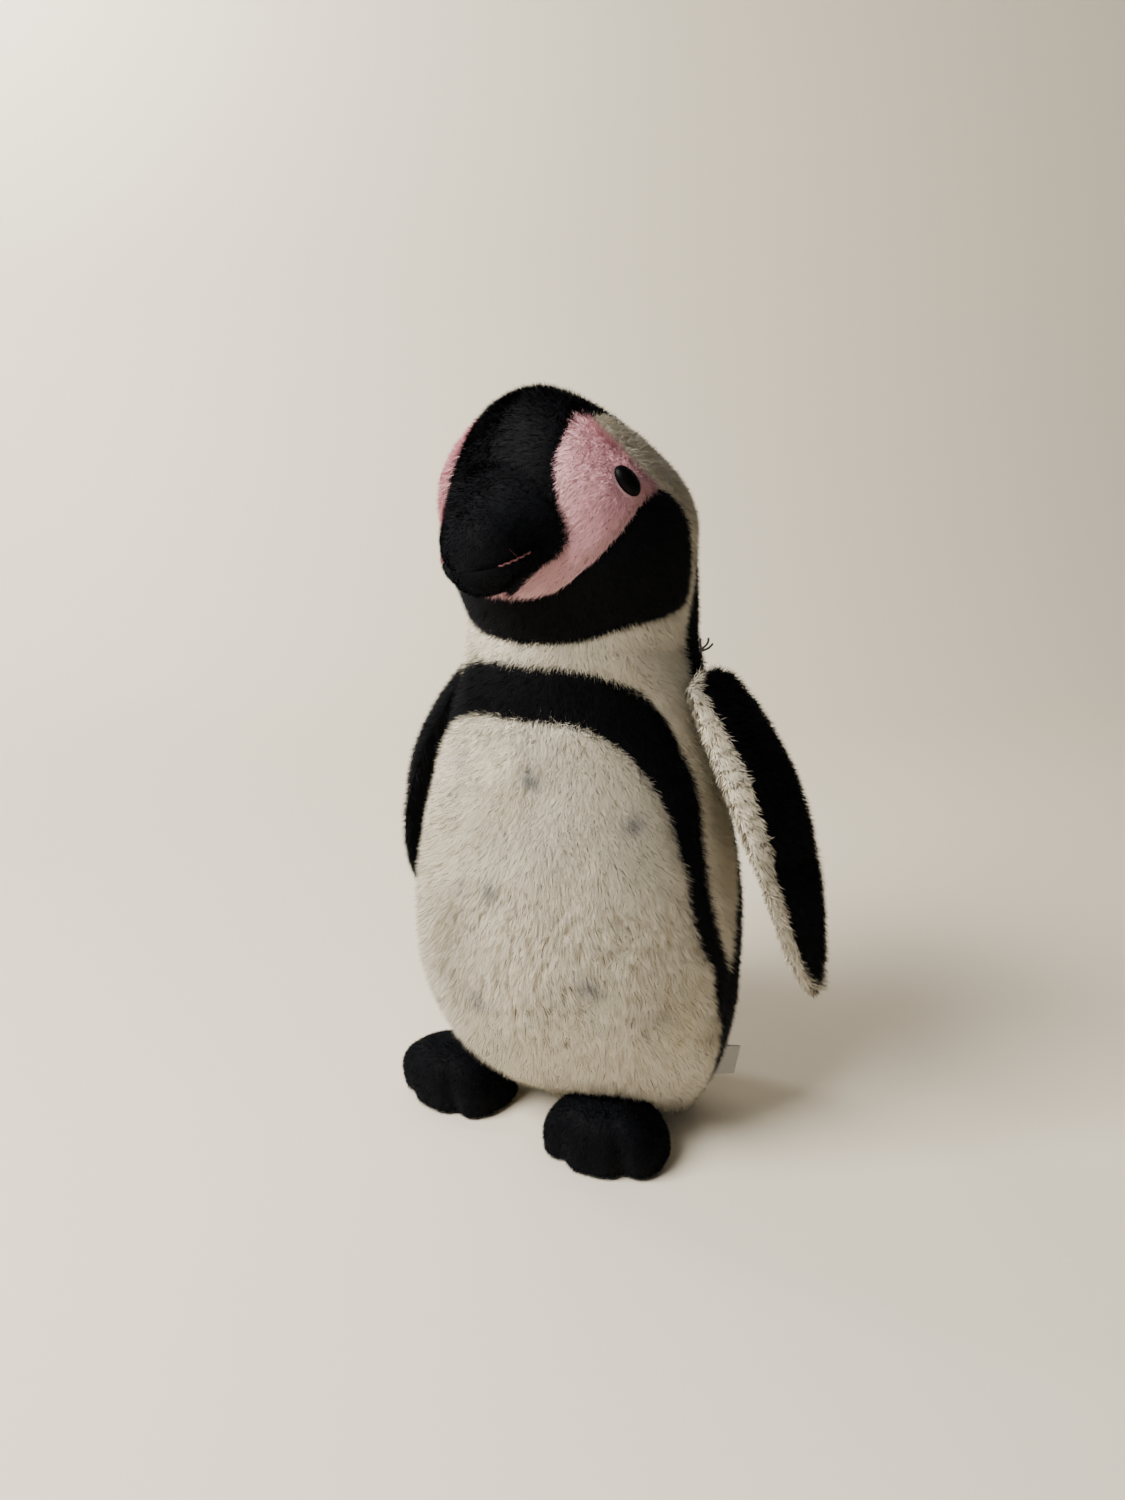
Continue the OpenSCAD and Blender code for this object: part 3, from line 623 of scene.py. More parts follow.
def face_comb(p, n):
    """Combed forwards and down, and away from the eyes near them."""
    flow = np.stack([-0.5 * np.sign(p[:, 0]), -np.ones(len(p)), -0.85 * np.ones(len(p))], -1)
    for side in (1, -1):
        d = p - eye_frame(side)[0]
        r = np.linalg.norm(d, axis=-1, keepdims=True)
        flow = flow + 1.5 * d / np.maximum(r, 1) * np.exp(-(r / 9) ** 2)
    return flow


def back_comb(p, n):
    """Combed backwards and down over the head."""
    return np.broadcast_to(np.array([0.0, 0.7, -1]), p.shape)


# ---- the panels


class Seams:
    """The seam curves at the resolution that the panels use, all from one formula each."""

    side = spread(SIDE_SEAM, 30)
    inner = spread(INNER_ARCH, 90)
    low = spread(LOW_SEAM, 12)
    outer = spread(OUTER_ARCH, 90)
    back = spread(BACK_SEAM, 60)
    neck = spread(NECK_SEAM, 42)
    crown = aim(spread(CROWN_SEAM, 90))
    top = aim(spread(TOP_SEAM, 12))
    jaw_top = aim(spread(JAW_TOP, 60))
    brow = aim(spread(BROW_SEAM, 30))
    jaw_low = aim(spread(JAW_LOW, 60))
    throat = aim(spread(THROAT_SEAM, 30))
    nape = aim(spread(NAPE_SEAM, 48))


def on_angle(edge, angle):
    """The points of a body seam moved to one angle, at their own heights."""
    return np.stack([np.full(len(edge), float(angle)), edge[:, 1]], -1)


def arc(low, high, n):
    """Directions on the middle plane, from the front over the crown to the nape."""
    g = np.radians(np.linspace(low, high, n))
    return np.stack([0 * g, -np.cos(g), np.sin(g)], -1)


def across(side, middle, cols, flip):
    """A patch from one side over the middle plane to the other side."""
    t = np.linspace(0, 1, cols)[None, :, None]
    a, b = np.broadcast_arrays(side[:, None], middle[:, None])
    half = steer(a, b, t)
    half[:, -1] = middle
    v = np.concatenate([half, half[:, -2::-1] * MIRROR], 1)
    return Patch(*head_surface(v), flip=flip)


def belly_clumping(p):
    """How strongly the belly's pile clumps: more in its lower half and towards its left."""
    return 0.05 + 0.6 * step(128, 100, p[..., 2]) * step(-22, 6, p[..., 0] + 0.12 * p[..., 2] - 6)


def build_body(settings, materials):
    """Belly, chest band, flanks and back, with the same seams as the CAD panels."""
    s = Seams
    belly_edge = chain(s.side, s.inner)
    left_belly = body_patch(on_angle(belly_edge, 0), belly_edge, 56)
    thinned = np.linspace(0, 102, 91).round().astype(int)
    band = body_patch(s.inner, chain(s.low, s.outer)[thinned], 14)
    flank = body_patch(s.outer, chain(s.back, s.neck)[thinned], 18)
    back_edge = chain(s.side, s.low, s.back)
    back = body_patch(back_edge, on_angle(back_edge, 180), 64)
    white_pile, black_pile = materials["white_plush"], materials["black_plush"]
    rest = dict(comb=down, lay=44)
    for side, name in ((1, "left"), (-1, "right")):
        o = plush(f"{name}_belly", [on_side(left_belly, side)], settings, white_pile, belly, belly_comb,
                  seed=11 + side, density=8.0, clump_size=3.8, clumping=belly_clumping, lay=36, width=0.3,
                  groove=0.9)
        seat(o, "torso", "white_plush", f"{name}_belly_panel")
        o = plush(f"{name}_flank", [on_side(flank, side)], settings, white_pile, white, seed=21 + side,
                  density=8.0, clumping=0.12, width=0.32, **rest)
        seat(o, "neck", "white_plush", f"{name}_flank_panel")
        o = plush(f"{name}_back", [on_side(back, side)], settings, black_pile, black, seed=31 + side,
                  density=5.5, clumping=0.25, width=0.4, **rest)
        seat(o, "neck", "black_plush", f"{name}_back_panel")
    o = plush("chest_fabric", [band, band.mirrored()], settings, black_pile, black, seed=41, density=8.0,
              clumping=0.15, width=0.32, **rest)
    seat(o, "neck", "black_plush", "chest_band", "body_stuffing")


def build_head(settings, materials):
    """Crown, nape, cheeks, brows and jaws, with the same seams as the CAD panels."""
    s = Seams
    side = chain(s.crown, s.top)
    crown = across(side, arc(-31, NAPE_TOP, len(side)), 34, flip=True)
    nape = across(s.nape, arc(180 + NECK_DOWN, NAPE_TOP, len(s.nape)), 40, flip=False)
    cheek = head_patch(s.crown, chain(s.jaw_top, s.brow), 44)
    brow_back = chain(s.throat, s.nape, s.top[::-1])
    brow = head_patch(chain(s.jaw_low, s.brow), brow_back, 24)
    jaw = head_patch(s.jaw_top, s.jaw_low, 30)
    fine = dict(clump_size=3.6, width=0.3, groove=0.9)
    for side, name in ((1, "left"), (-1, "right")):
        for part, patch, slot, colour, comb, seed, body in (
                ("cheek", cheek, "pink_plush", pink, face_comb, 51, "head"),
                ("brow", brow, "white_plush", white, down, 61, "neck"),
                ("jaw", jaw, "black_plush", black, back_comb, 71, "neck")):
            o = plush(f"{name}_{part}", [on_side(patch, side)], settings, materials[slot], colour, comb,
                      seed + side, 9.0, clumping=0.15, **fine)
            seat(o, body, slot, f"{name}_{part}_panel")
    black_pile = materials["black_plush"]
    o = plush("crown", [crown], settings, black_pile, black, face_comb, 81, 9.0, clumping=0.15, **fine)
    seat(o, "head", "black_plush", "crown_panel", "head_stuffing")
    o = plush("nape", [nape], settings, black_pile, black, down, 91, 6.5, clumping=0.2, width=0.38,
              groove=0.9)
    seat(o, "neck", "black_plush", "nape_panel")


# ---- beak and eyes

BEAK_DROP = 4.0
BEAK_SPREAD = 25.0
BEAK_LEN = 21.0


def beak_at(g, t):
    """The beak: g runs round it and t from its root at 0 to its tip at 90. Its root flares into the head
    above the mouth and is narrower below it."""
    low = step(0.05, -0.75, np.sin(np.radians(g)))
    reach = BEAK_SPREAD + 7.5 * (1 - np.clip(t, 0, 30) / 30) ** 2 * (1 - low) - 6.5 * low
    x, y = reach * np.cos(np.radians(g)), reach * np.sin(np.radians(g))
    root = head_at(aim(np.stack([x, y - BEAK_DROP], -1)))
    middle = head_at(aim(np.array([0.0, -BEAK_DROP])))
    tip = middle + BEAK_LEN * np.array([0, -np.cos(radians(28)), -np.sin(radians(28))])
    along = np.clip(np.cos(np.radians(t)), 0, 1)[..., None] ** 0.85
    out = np.clip(np.sin(np.radians(t)), 0, 1)[..., None] ** 0.9
    return middle + (root - middle) * along + (tip - middle) * out


def mouth_groove(g, t):
    """Depth of the crease along the mouth on both sides."""
    away = np.minimum(np.abs(g - 4), np.abs(np.abs(g - 176)))
    return np.exp(-(away / 5) ** 2) * step(4, 16, t) * step(86, 70, t)


def beak_patch(low, high):
    """The part of the beak between two angles, as a patch with normals from its own slopes."""
    g, t = np.meshgrid(np.linspace(low, high, 80), np.linspace(-7, 89.9, 60))
    p = beak_at(g, np.maximum(t, 0))
    middle = p.mean((0, 1))
    inside = np.where(t < 0, -t / 7 * 2.0, 0)[..., None]
    dg = beak_at(g + 0.7, np.maximum(t, 0)) - beak_at(g - 0.7, np.maximum(t, 0))
    dt = beak_at(g, np.clip(t, 0, 88) + 0.7) - beak_at(g, np.clip(t, 0, 88) - 0.7 * (t > 0))
    n = unit(np.cross(dg, dt))
    n = np.where(((p - middle) * n).sum(-1, keepdims=True) < 0, -n, n)
    p = p - n * (1.0 * mouth_groove(g, t))[..., None] - n * inside
    return Patch(p, n)


def velour_comb(p, n):
    """Combed forwards along the beak."""
    return np.broadcast_to(np.array([0.0, -1, -0.4]), p.shape)


def velour(p, n):
    """Black velour, a little bluer than the plush."""
    return np.array([0.0046, 0.0052, 0.0074]) * (1 + 0.12 * noise(p, 15, 401))[:, None]


def tube(path, radius, sides=10):
    """A closed tube along a path, with a ring of points at each place and a point at each end."""
    along = unit(np.gradient(path, axis=0))
    helper = np.array([0.03, 0.02, 1.0])
    a = unit(np.cross(along, helper))
    b = np.cross(along, a)
    g = np.linspace(0, 2 * np.pi, sides, endpoint=False)
    rings = path[:, None] + radius * (a[:, None] * np.cos(g)[:, None] + b[:, None] * np.sin(g)[:, None])
    rings = np.concatenate([np.repeat(path[:1, None], sides, 1), rings, np.repeat(path[-1:, None], sides, 1)])
    return rings.reshape(-1, 3), grid_faces(len(rings), sides, closed=True)[:, ::-1]


def joined(parts):
    """Several (points, faces) pairs as one."""
    points, faces, start = [], [], 0
    for p, f in parts:
        points.append(p)
        faces.append(f + start)
        start += len(p)
    return np.concatenate(points), [np.concatenate(faces)]


def build_beak(settings, materials):
    """Upper and lower beak of short velour, and the dull red thread along the mouth."""
    tip = beak_at(np.array(0.0), np.array(90.0))
    short = lambda p: settings.velour_pile / MM * (1 + 1.6 * step(13, 24, np.linalg.norm(p - tip, axis=-1)))
    for name, low, high, nodes in (("upper_beak", 4, 176, ["beak_upper", "beak_stuffing"]),
                                   ("lower_beak", 176, 364, ["beak_lower"])):
        o = plush(name, [beak_patch(low, high)], settings, materials["black_velour"], velour, velour_comb,
                  101 + low, 13.0, length=short, lay=42, clump_size=2.2, clumping=0.08, width=0.26, groove=0)
        seat(o, "head", "black_velour", *nodes)
    t = np.linspace(26, 58, 60)
    path = beak_at(np.full(60, 4.0), t)
    middle = head_at(aim(np.array([0.0, -BEAK_DROP])))
    path = path + unit(path - middle) * (-0.25 + 0.35 * np.sin(np.linspace(0, 30, 60)))[:, None]
    hair_t = np.linspace(0, 1, 14)[:, None]
    hair = path[22] + hair_t * np.array([-3.5, -2.0, 4.0]) + np.sin(3 * hair_t) * np.array([0.5, -1.2, 0.3])
    parts = []
    for flip in (np.ones(3), MIRROR):
        for line, r in ((path, 0.32), (hair, 0.09)):
            p, f = tube(line * flip, r)
            parts.append((p, f))
    points, faces = joined(parts)
    o = new_object("mouth_stitch", points, faces, materials["red_thread"])
    seat(o, "head", "red_thread", "mouth_thread")


def build_eyes(settings, materials):
    """Each eye is half an ellipsoid with a rounded rim, on a short shank that ends in the CAD washer."""
    e = np.radians(np.linspace(-60, 90, 34))
    g = np.linspace(0, 2 * np.pi, 56, endpoint=False)
    for side, name in ((1, "left"), (-1, "right")):
        middle, out, up, along = eye_frame(side)
        c, s = np.cos(EYE_TILT), np.sin(EYE_TILT)
        x, y = c * along + s * up, -s * along + c * up
        w, h = settings.eye_half_width / MM, settings.eye_half_height / MM
        rim = np.cos(e)[:, None, None]
        rise = np.where(e > 0, 3.0 * np.sin(e), 1.0 * np.sin(e))[:, None, None]
        base = middle - out * 1.7
        grid = base + rim * (w * np.cos(g)[:, None] * x + h * np.sin(g)[:, None] * y) + rise * out
        points = np.concatenate([grid.reshape(-1, 3), [base - out * 0.9]])
        faces = [grid_faces(34, 56, closed=True), np.stack([np.full(56, 34 * 56), (np.arange(56) + 1) % 56,
                                                             np.arange(56)], -1)]
        o = new_object(f"{name}_eye_dome", points, faces, materials["eye_plastic"])
        face_out(o, Vector(middle * MM))
        seat(o, "head", "eye_plastic", f"{name}_eye")


def face_out(o, middle):
    """Turns every face of a rounded closed piece away from its middle, if the piece is inside out."""
    mesh = o.data
    total = sum((f.center - middle).dot(f.normal) * f.area for f in mesh.polygons)
    if total < 0:
        mesh.flip_normals()


# ---- wings


def place_left(points, origin, turn, lean, push=0.0):
    """Leans by lean about Y, moves out by push, turns by turn about Z and moves to the origin, in degrees."""
    a, b = radians(-lean), radians(turn)
    tilt = np.array([[np.cos(a), 0, np.sin(a)], [0, 1, 0], [-np.sin(a), 0, np.cos(a)]])
    spin = np.array([[np.cos(b), -np.sin(b), 0], [np.sin(b), np.cos(b), 0], [0, 0, 1]])
    return (points @ tilt.T + np.array([push, 0, 0])) @ spin.T + origin


def swing_back(points, angle):
    """Turns hanging points about X, so their low end moves back."""
    c, s = np.cos(radians(angle)), np.sin(radians(angle))
    return points @ np.array([[1, 0, 0], [0, c, -s], [0, s, c]]).T


SHOULDER_ANGLE = 101.0
SHOULDER_Z = 183.0
WING_LEN = 118.0
WING_TURN = -4.0
WING_PUSH = 3.5  # the wing's middle stands this far out from the body at its root


def wing_at(s, g):
    """A hanging wing: s runs from above the shoulder seam at 0 to the tip at 1, g runs round from the front
    edge over the outer face. It is a flat oval, widest in its middle, thin at its root, pointed at its tip."""
    k = np.clip((s - 0.035) / 0.965, 0, 1)
    root = np.sqrt(np.clip(1 - (1 - np.clip(s / 0.05, 0, 1)) ** 2, 0, 1))
    width = 24.0 * (0.70 + 0.30 * np.sin(np.radians(150 * k))) * np.sqrt(np.clip(1 - k**3.2, 0, 1)) * root
    depth = 10.0 * (0.36 + 0.64 * np.sin(np.radians(160 * np.minimum(k * 1.6 + 0.05, 1)))) * np.sqrt(
        np.clip(1 - k**4, 0, 1)) * root
    sine = np.sin(np.radians(g))
    x = 7 * np.sin(np.pi * k) + np.where(sine > 0, depth, 0.6 * depth) * sine
    y = -width * np.cos(np.radians(g)) + 4 * k * k
    z = 3.0 - (WING_LEN + 7.0) * s
    return np.stack([x, y, z], -1)


def wing_patch(low, high):
    """The part of a hanging wing between two angles round it."""
    s = [np.linspace(0.001, 0.05, 10), np.linspace(0.065, 0.9, 70), np.linspace(0.91, 0.9995, 24)]
    s = np.concatenate(s)
    g, s = np.meshgrid(np.linspace(low, high, 44), s[::-1])
    p = wing_at(s, g)
    dg = wing_at(s, g + 1.0) - wing_at(s, g - 1.0)
    ds = wing_at(np.clip(s - 0.002, 0, 1), g) - wing_at(np.clip(s + 0.002, 0, 1), g)
    return Patch(p, unit(np.cross(dg, ds)))


def build_wings(settings, materials):
    """Black outer and white inner fabric of both wings, hanging from the shoulder seams."""
    root = body_at(np.array([SHOULDER_ANGLE, SHOULDER_Z / NECK_Z]))
    zero = np.zeros(3)
    long = lambda p: np.full(p.shape[:-1], settings.wing_pile / MM)
    for side, name, lean, more_lean, wing_back, front in (
            (1, "left", settings.left_wing_rest, 2.5, 0, 42),
            (-1, "right", settings.right_wing_rest, 0.0, 5, -62)):
        for part, low, high, slot, colour, clumping, nodes in (
                ("outer", front, 180, "black_plush", black, 0.2, ("outer", "stuffing", "seam")),
                ("inner", 180, 360 + front, "white_plush", white, 0.45, ("inner",))):
            patch = wing_patch(low, high)
            lean_deg = np.degrees(lean) + more_lean
            p = place_left(swing_back(patch.p, wing_back), root, WING_TURN, lean_deg, WING_PUSH)
            n = place_left(swing_back(patch.n, wing_back), zero, WING_TURN, lean_deg)
            comb_to = place_left(np.array([0.0, 0, -1]), zero, WING_TURN, lean_deg)
            if side < 0:
                comb_to = comb_to * MIRROR
            comb = lambda p, n, to=comb_to: np.broadcast_to(to, p.shape)
            o = plush(f"{name}_wing_{part}_fabric", [on_side(Patch(p, n), side)], settings, materials[slot],
                      colour, comb, 140 + side + 4 * (part == "outer"), 7.0, length=long, clumping=clumping,
                      clump_size=4.5, groove=0, lay=40, width=0.36, bent=part == "inner")
            seat(o, f"{name}_wing", slot, *[f"{name}_wing_{node}" for node in nodes])


# ---- feet

FOOT_Z = 5.2
FOOT_LEN = 40.0
FOOT_HALF_W = 26.5
FOOT_H = 25.0
FOOT_SPLAY = 8
ANKLE_HALF = 4.0
ROLL_R = 2.6  # radius of the seam roll at the heel
SEAT_GAP = 0.45
TOE_NOTCHES = (242, 298)


def body_front(x, z):
    """The front of the body at a distance from its middle plane and a height."""
    w = table_value(z / NECK_Z, 1)
    return table_value(z / NECK_Z, 2) - table_value(z / NECK_Z, 3) * np.sqrt(1 - x * x / (w * w))


def foot_at(g, t):
    """A foot with the hinge line through the origin: a rounded cushion with three toes, g runs round it and t
    from the rim of its sole at 0 to its top at 90."""
    c, d = np.cos(np.radians(g)), np.sin(np.radians(g))
    toe = np.clip(-d, 0, 1)
    away = np.min([np.abs((g - at + 180) % 360 - 180) for at in TOE_NOTCHES], axis=0)
    notch = 3.4 * np.exp(-(away / 10) ** 2)
    w = FOOT_HALF_W * (0.88 + 0.12 * toe)
    length = FOOT_LEN / 2
    up = np.radians(np.clip(t, 0, 90))
    swell = np.cos(up) ** 0.62 * (1 + 0.05 * np.sin(2 * up))
    rise = np.sin(up) ** 0.95
    crease = (1 - 0.62 * rise) * notch
    x = (w - crease) * c * np.maximum(np.abs(c), 1e-3) ** -0.12 * swell
    y = (length - crease) * d * np.maximum(np.abs(d), 1e-3) ** -0.12 * swell
    under = np.clip(-t, 0, 30) / 30
    x, y = x * (1 - under), y * (1 - under)
    low = 1.6 - FOOT_Z
    z = low + (FOOT_H - FOOT_Z - low) * rise - 1.2 * np.sqrt(under)
    return np.stack([x, -FOOT_LEN / 2 + 1.0 + y - 6 * rise, z], -1)


def foot_patch(low, high):
    """Part of a foot between two values of t, closed round it."""
    g, t = np.meshgrid(np.linspace(-90, 270, 150), np.linspace(low, high, 54))
    p = foot_at(g, t)
    top = 89.0 if high > 0 else -1.0
    bottom = 0.5 if high > 0 else -29.0
    dg = foot_at(g + 1, np.clip(t, bottom, top)) - foot_at(g - 1, np.clip(t, bottom, top))
    dt = foot_at(g, np.clip(t, bottom, top) + 0.5) - foot_at(g, np.clip(t, bottom, top) - 0.5)
    return Patch(p, unit(np.cross(dg, dt)))


def build_feet(settings, materials):
    """Velour uppers and soles of both feet, each hinged at its heel against the body."""
    short = lambda p: np.full(p.shape[:-1], 1.6 * settings.velour_pile / MM)
    forwards = lambda p, n: np.broadcast_to(np.array([0.0, -1, -0.8]), p.shape)
    for side, name, out, shift in ((1, "left", settings.left_foot_out / MM, -2.5),
                                   (-1, "right", settings.right_foot_out / MM, 5.5)):
        y = body_front(out - ANKLE_HALF, FOOT_Z + 0.7 * ROLL_R) - 0.85 * ROLL_R - 0.8 * SEAT_GAP
        origin = np.array([out + shift, y + 1.3, FOOT_Z])
        for part, low, high, density, nodes in (("upper", 0, 89.7, 9.0, ("upper", "stuffing", "seam")),
                                                ("sole", -29.5, 0, 4.0, ("sole",))):
            patch = foot_patch(low, high)
            patch = Patch(place_left(patch.p, origin, FOOT_SPLAY, 0),
                          place_left(patch.n, np.zeros(3), FOOT_SPLAY, 0))
            o = plush(f"{name}_foot_{part}_fabric", [on_side(patch, side)], settings, materials["black_velour"],
                      velour, forwards, 151 + side, density, length=short, lay=42, clump_size=2.6,
                      clumping=0.12, width=0.3, groove=0)
            seat(o, f"{name}_foot", "black_velour", *[f"{name}_foot_{node}" for node in nodes])


# ---- small parts and stage


def build_trim(settings, materials):
    """Cloth base, blank folded ribbon, and the loose thread ends at the left shoulder."""
    v, g = np.meshgrid(np.linspace(0.02, 1, 16), np.linspace(0, 360, 97)[:-1], indexing="ij")
    edge = body_at(np.stack([g, np.full_like(g, 0.012)], -1))
    middle = np.array([0, 17.0, 0])
    p = middle + (edge - middle) * v[..., None] * 0.985
    p[..., 2] = 0.4 + 2.2 * v**14
    faces = grid_faces(16, 96, closed=True)
    cap = np.stack([np.full(96, 16 * 96), np.arange(96), (np.arange(96) + 1) % 96], -1)
    points = np.concatenate([p.reshape(-1, 3), [[0, 17.0, 0.4]]])
    o = new_object("base_cloth", points, [faces, cap], materials["base_cloth"])
    face_out(o, Vector((0, 0.017, 0.3)))
    seat(o, "torso", "white_plush", "base_panel", "pellet_bag")

    root = body_at(np.array([100.0, 0.1]))
    length, width = settings.label_length / MM, settings.label_width / MM
    s, w = np.meshgrid(np.linspace(-1, 1, 61), np.linspace(-0.5, 0.5, 15), indexing="ij")
    fold = 0.55
    x = (length - fold) * (1 - np.abs(s))
    y = fold * np.sign(s) * np.minimum(np.abs(s) / 0.06, 1) ** 0.5 + 0.9 * np.sin(2.2 * x / length)
    z = width * w + 0.25 * np.sin(3 * w + x / 5)
    p = place_left(np.stack([x, y, z], -1), root + np.array([-1.5, 2.0, 6.0]), 62, -14)
    o = new_object("ribbon_label", p.reshape(-1, 3), [grid_faces(61, 15)], materials["ribbon"])
    seat(o, "torso", "ribbon", "label")

    start = np.array([48.5, 0.0, 193.0])
    t = np.linspace(0, 1, 16)[:, None]
    ends = []
    for k, to in enumerate(([4.0, -1, 5.0], [5.5, 1, 2.6], [2, -2, 4.5])):
        curl = np.sin(3.4 * t + k) * np.array([0.8, 0.5, -0.4])
        ends.append(tube(start + t * np.array(to) + curl * t, 0.42, 8))
    points, faces = joined(ends)
    o = new_object("thread_ends", points, faces, materials["black_thread"])
    seat(o, "torso", "black_thread")


def plain(name, colour, roughness, **values):
    """A Principled material with plain values on its sockets."""
    m = bpy.data.materials.new(name)
    m.use_nodes = True
    shader = m.node_tree.nodes["Principled BSDF"]
    shader.inputs["Base Color"].default_value = (*colour, 1)
    shader.inputs["Roughness"].default_value = roughness
    for socket, value in values.items():
        shader.inputs[socket.replace("_", " ")].default_value = value
    return m


def pile_material(name, roughness, sheen, tint, specular):
    """Fabric whose colour comes from each tuft's own tint."""
    m = plain(name, (0.5, 0.5, 0.5), roughness, Sheen_Weight=sheen, Sheen_Roughness=0.45,
              Sheen_Tint=(*tint, 1), Specular_IOR_Level=specular)
    nodes, links = m.node_tree.nodes, m.node_tree.links
    attribute = nodes.new("ShaderNodeAttribute")
    attribute.attribute_name = PILE
    links.new(attribute.outputs["Color"], nodes["Principled BSDF"].inputs["Base Color"])
    return m


def blotch(m, scale, low, high, detail=2.0):
    """Makes a material's colour run between two tones with noise in object coordinates, and gives the noise."""
    nodes, links = m.node_tree.nodes, m.node_tree.links
    place = nodes.new("ShaderNodeTexCoord")
    cloud = nodes.new("ShaderNodeTexNoise")
    cloud.inputs["Scale"].default_value = scale
    cloud.inputs["Detail"].default_value = detail
    ramp = nodes.new("ShaderNodeValToRGB")
    ramp.color_ramp.elements[0].color = (*low, 1)
    ramp.color_ramp.elements[1].color = (*high, 1)
    links.new(place.outputs["Object"], cloud.inputs["Vector"])
    links.new(cloud.outputs["Fac"], ramp.inputs["Fac"])
    links.new(ramp.outputs["Color"], nodes["Principled BSDF"].inputs["Base Color"])
    return cloud


def woven(name, colour, roughness, scale):
    """Plain cloth with a fine weave in its colour and its bumps."""
    m = plain(name, colour, roughness, Sheen_Weight=0.2)
    nodes, links = m.node_tree.nodes, m.node_tree.links
    waves = blotch(m, scale, [c * 0.86 for c in colour], [min(c * 1.08, 1) for c in colour], detail=3)
    bump = nodes.new("ShaderNodeBump")
    bump.inputs["Distance"].default_value = 0.0002
    bump.inputs["Strength"].default_value = 0.4
    links.new(waves.outputs["Fac"], bump.inputs["Height"])
    links.new(bump.outputs["Normal"], nodes["Principled BSDF"].inputs["Normal"])
    return m


def paper(name, colour):
    """Matt paper whose tone drifts a little over its width."""
    m = plain(name, colour, 0.9, Specular_IOR_Level=0.1)
    blotch(m, 3.0, [c * 0.97 for c in colour], colour)
    return m


def make_materials():
    """Every material of the toy, by the record's slot names, and those of its base and the stage."""
    return {
        "black_plush": pile_material("black_plush", 0.7, 0.03, (0.55, 0.6, 0.75), 0.08),
        "white_plush": pile_material("white_plush", 0.8, 0.15, (1, 0.98, 0.94), 0.2),
        "pink_plush": pile_material("pink_plush", 0.8, 0.15, (1, 0.93, 0.94), 0.2),
        "black_velour": pile_material("black_velour", 0.7, 0.04, (0.5, 0.57, 0.75), 0.08),
        "red_thread": woven("red_thread", (0.10, 0.022, 0.026), 0.8, 2600),
        "black_thread": woven("black_thread", (0.012, 0.012, 0.016), 0.6, 2600),
        "eye_plastic": plain("eye_plastic", (0.001, 0.001, 0.0013), 0.42, Specular_IOR_Level=0.06),
        "washer_plastic": plain("washer_plastic", (0.78, 0.78, 0.76), 0.4),
        # painted shade: the ribbon is white, and this grey colour stands in for the shade it hangs in
        "ribbon": plain("ribbon", (0.42, 0.41, 0.39), 0.35, Sheen_Weight=0.3),
        "base_cloth": woven("base_cloth", (0.62, 0.60, 0.55), 0.85, 1800),
        "sweep_paper": paper("sweep_paper", (0.83, 0.765, 0.645)),
    }


def dress_cad_nodes(settings, materials):
    """Gives the CAD pieces that stay in view their materials."""
    for name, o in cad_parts.items():
        slot = "washer_plastic" if name.endswith("washer") else "black_thread"
        if o.type == "MESH" and not o.hide_render:
            o.data.materials.clear()
            o.data.materials.append(materials[slot])
            for face in o.data.polygons:
                face.use_smooth = False


CAMERA_TURN = 33
CAMERA_TILT = 76
CAMERA_AT = (0.2329, -0.3734, 0.260)
CAMERA_LENS = 28.25


def area_lamp(name, place, to, size, power, colour):
    """A rectangular lamp at a place, turned to face another place, in metres and watts."""
    data = bpy.data.lights.new(name, "AREA")
    data.shape = "RECTANGLE"
    data.size, data.size_y = size, size * 0.8
    data.energy = power
    data.color = colour
    lamp = bpy.data.objects.new(name, data)
    lamp.location = place
    lamp.rotation_euler = (Vector(to) - Vector(place)).to_track_quat("-Z", "Y").to_euler()
    bpy.context.scene.collection.objects.link(lamp)
    return lamp


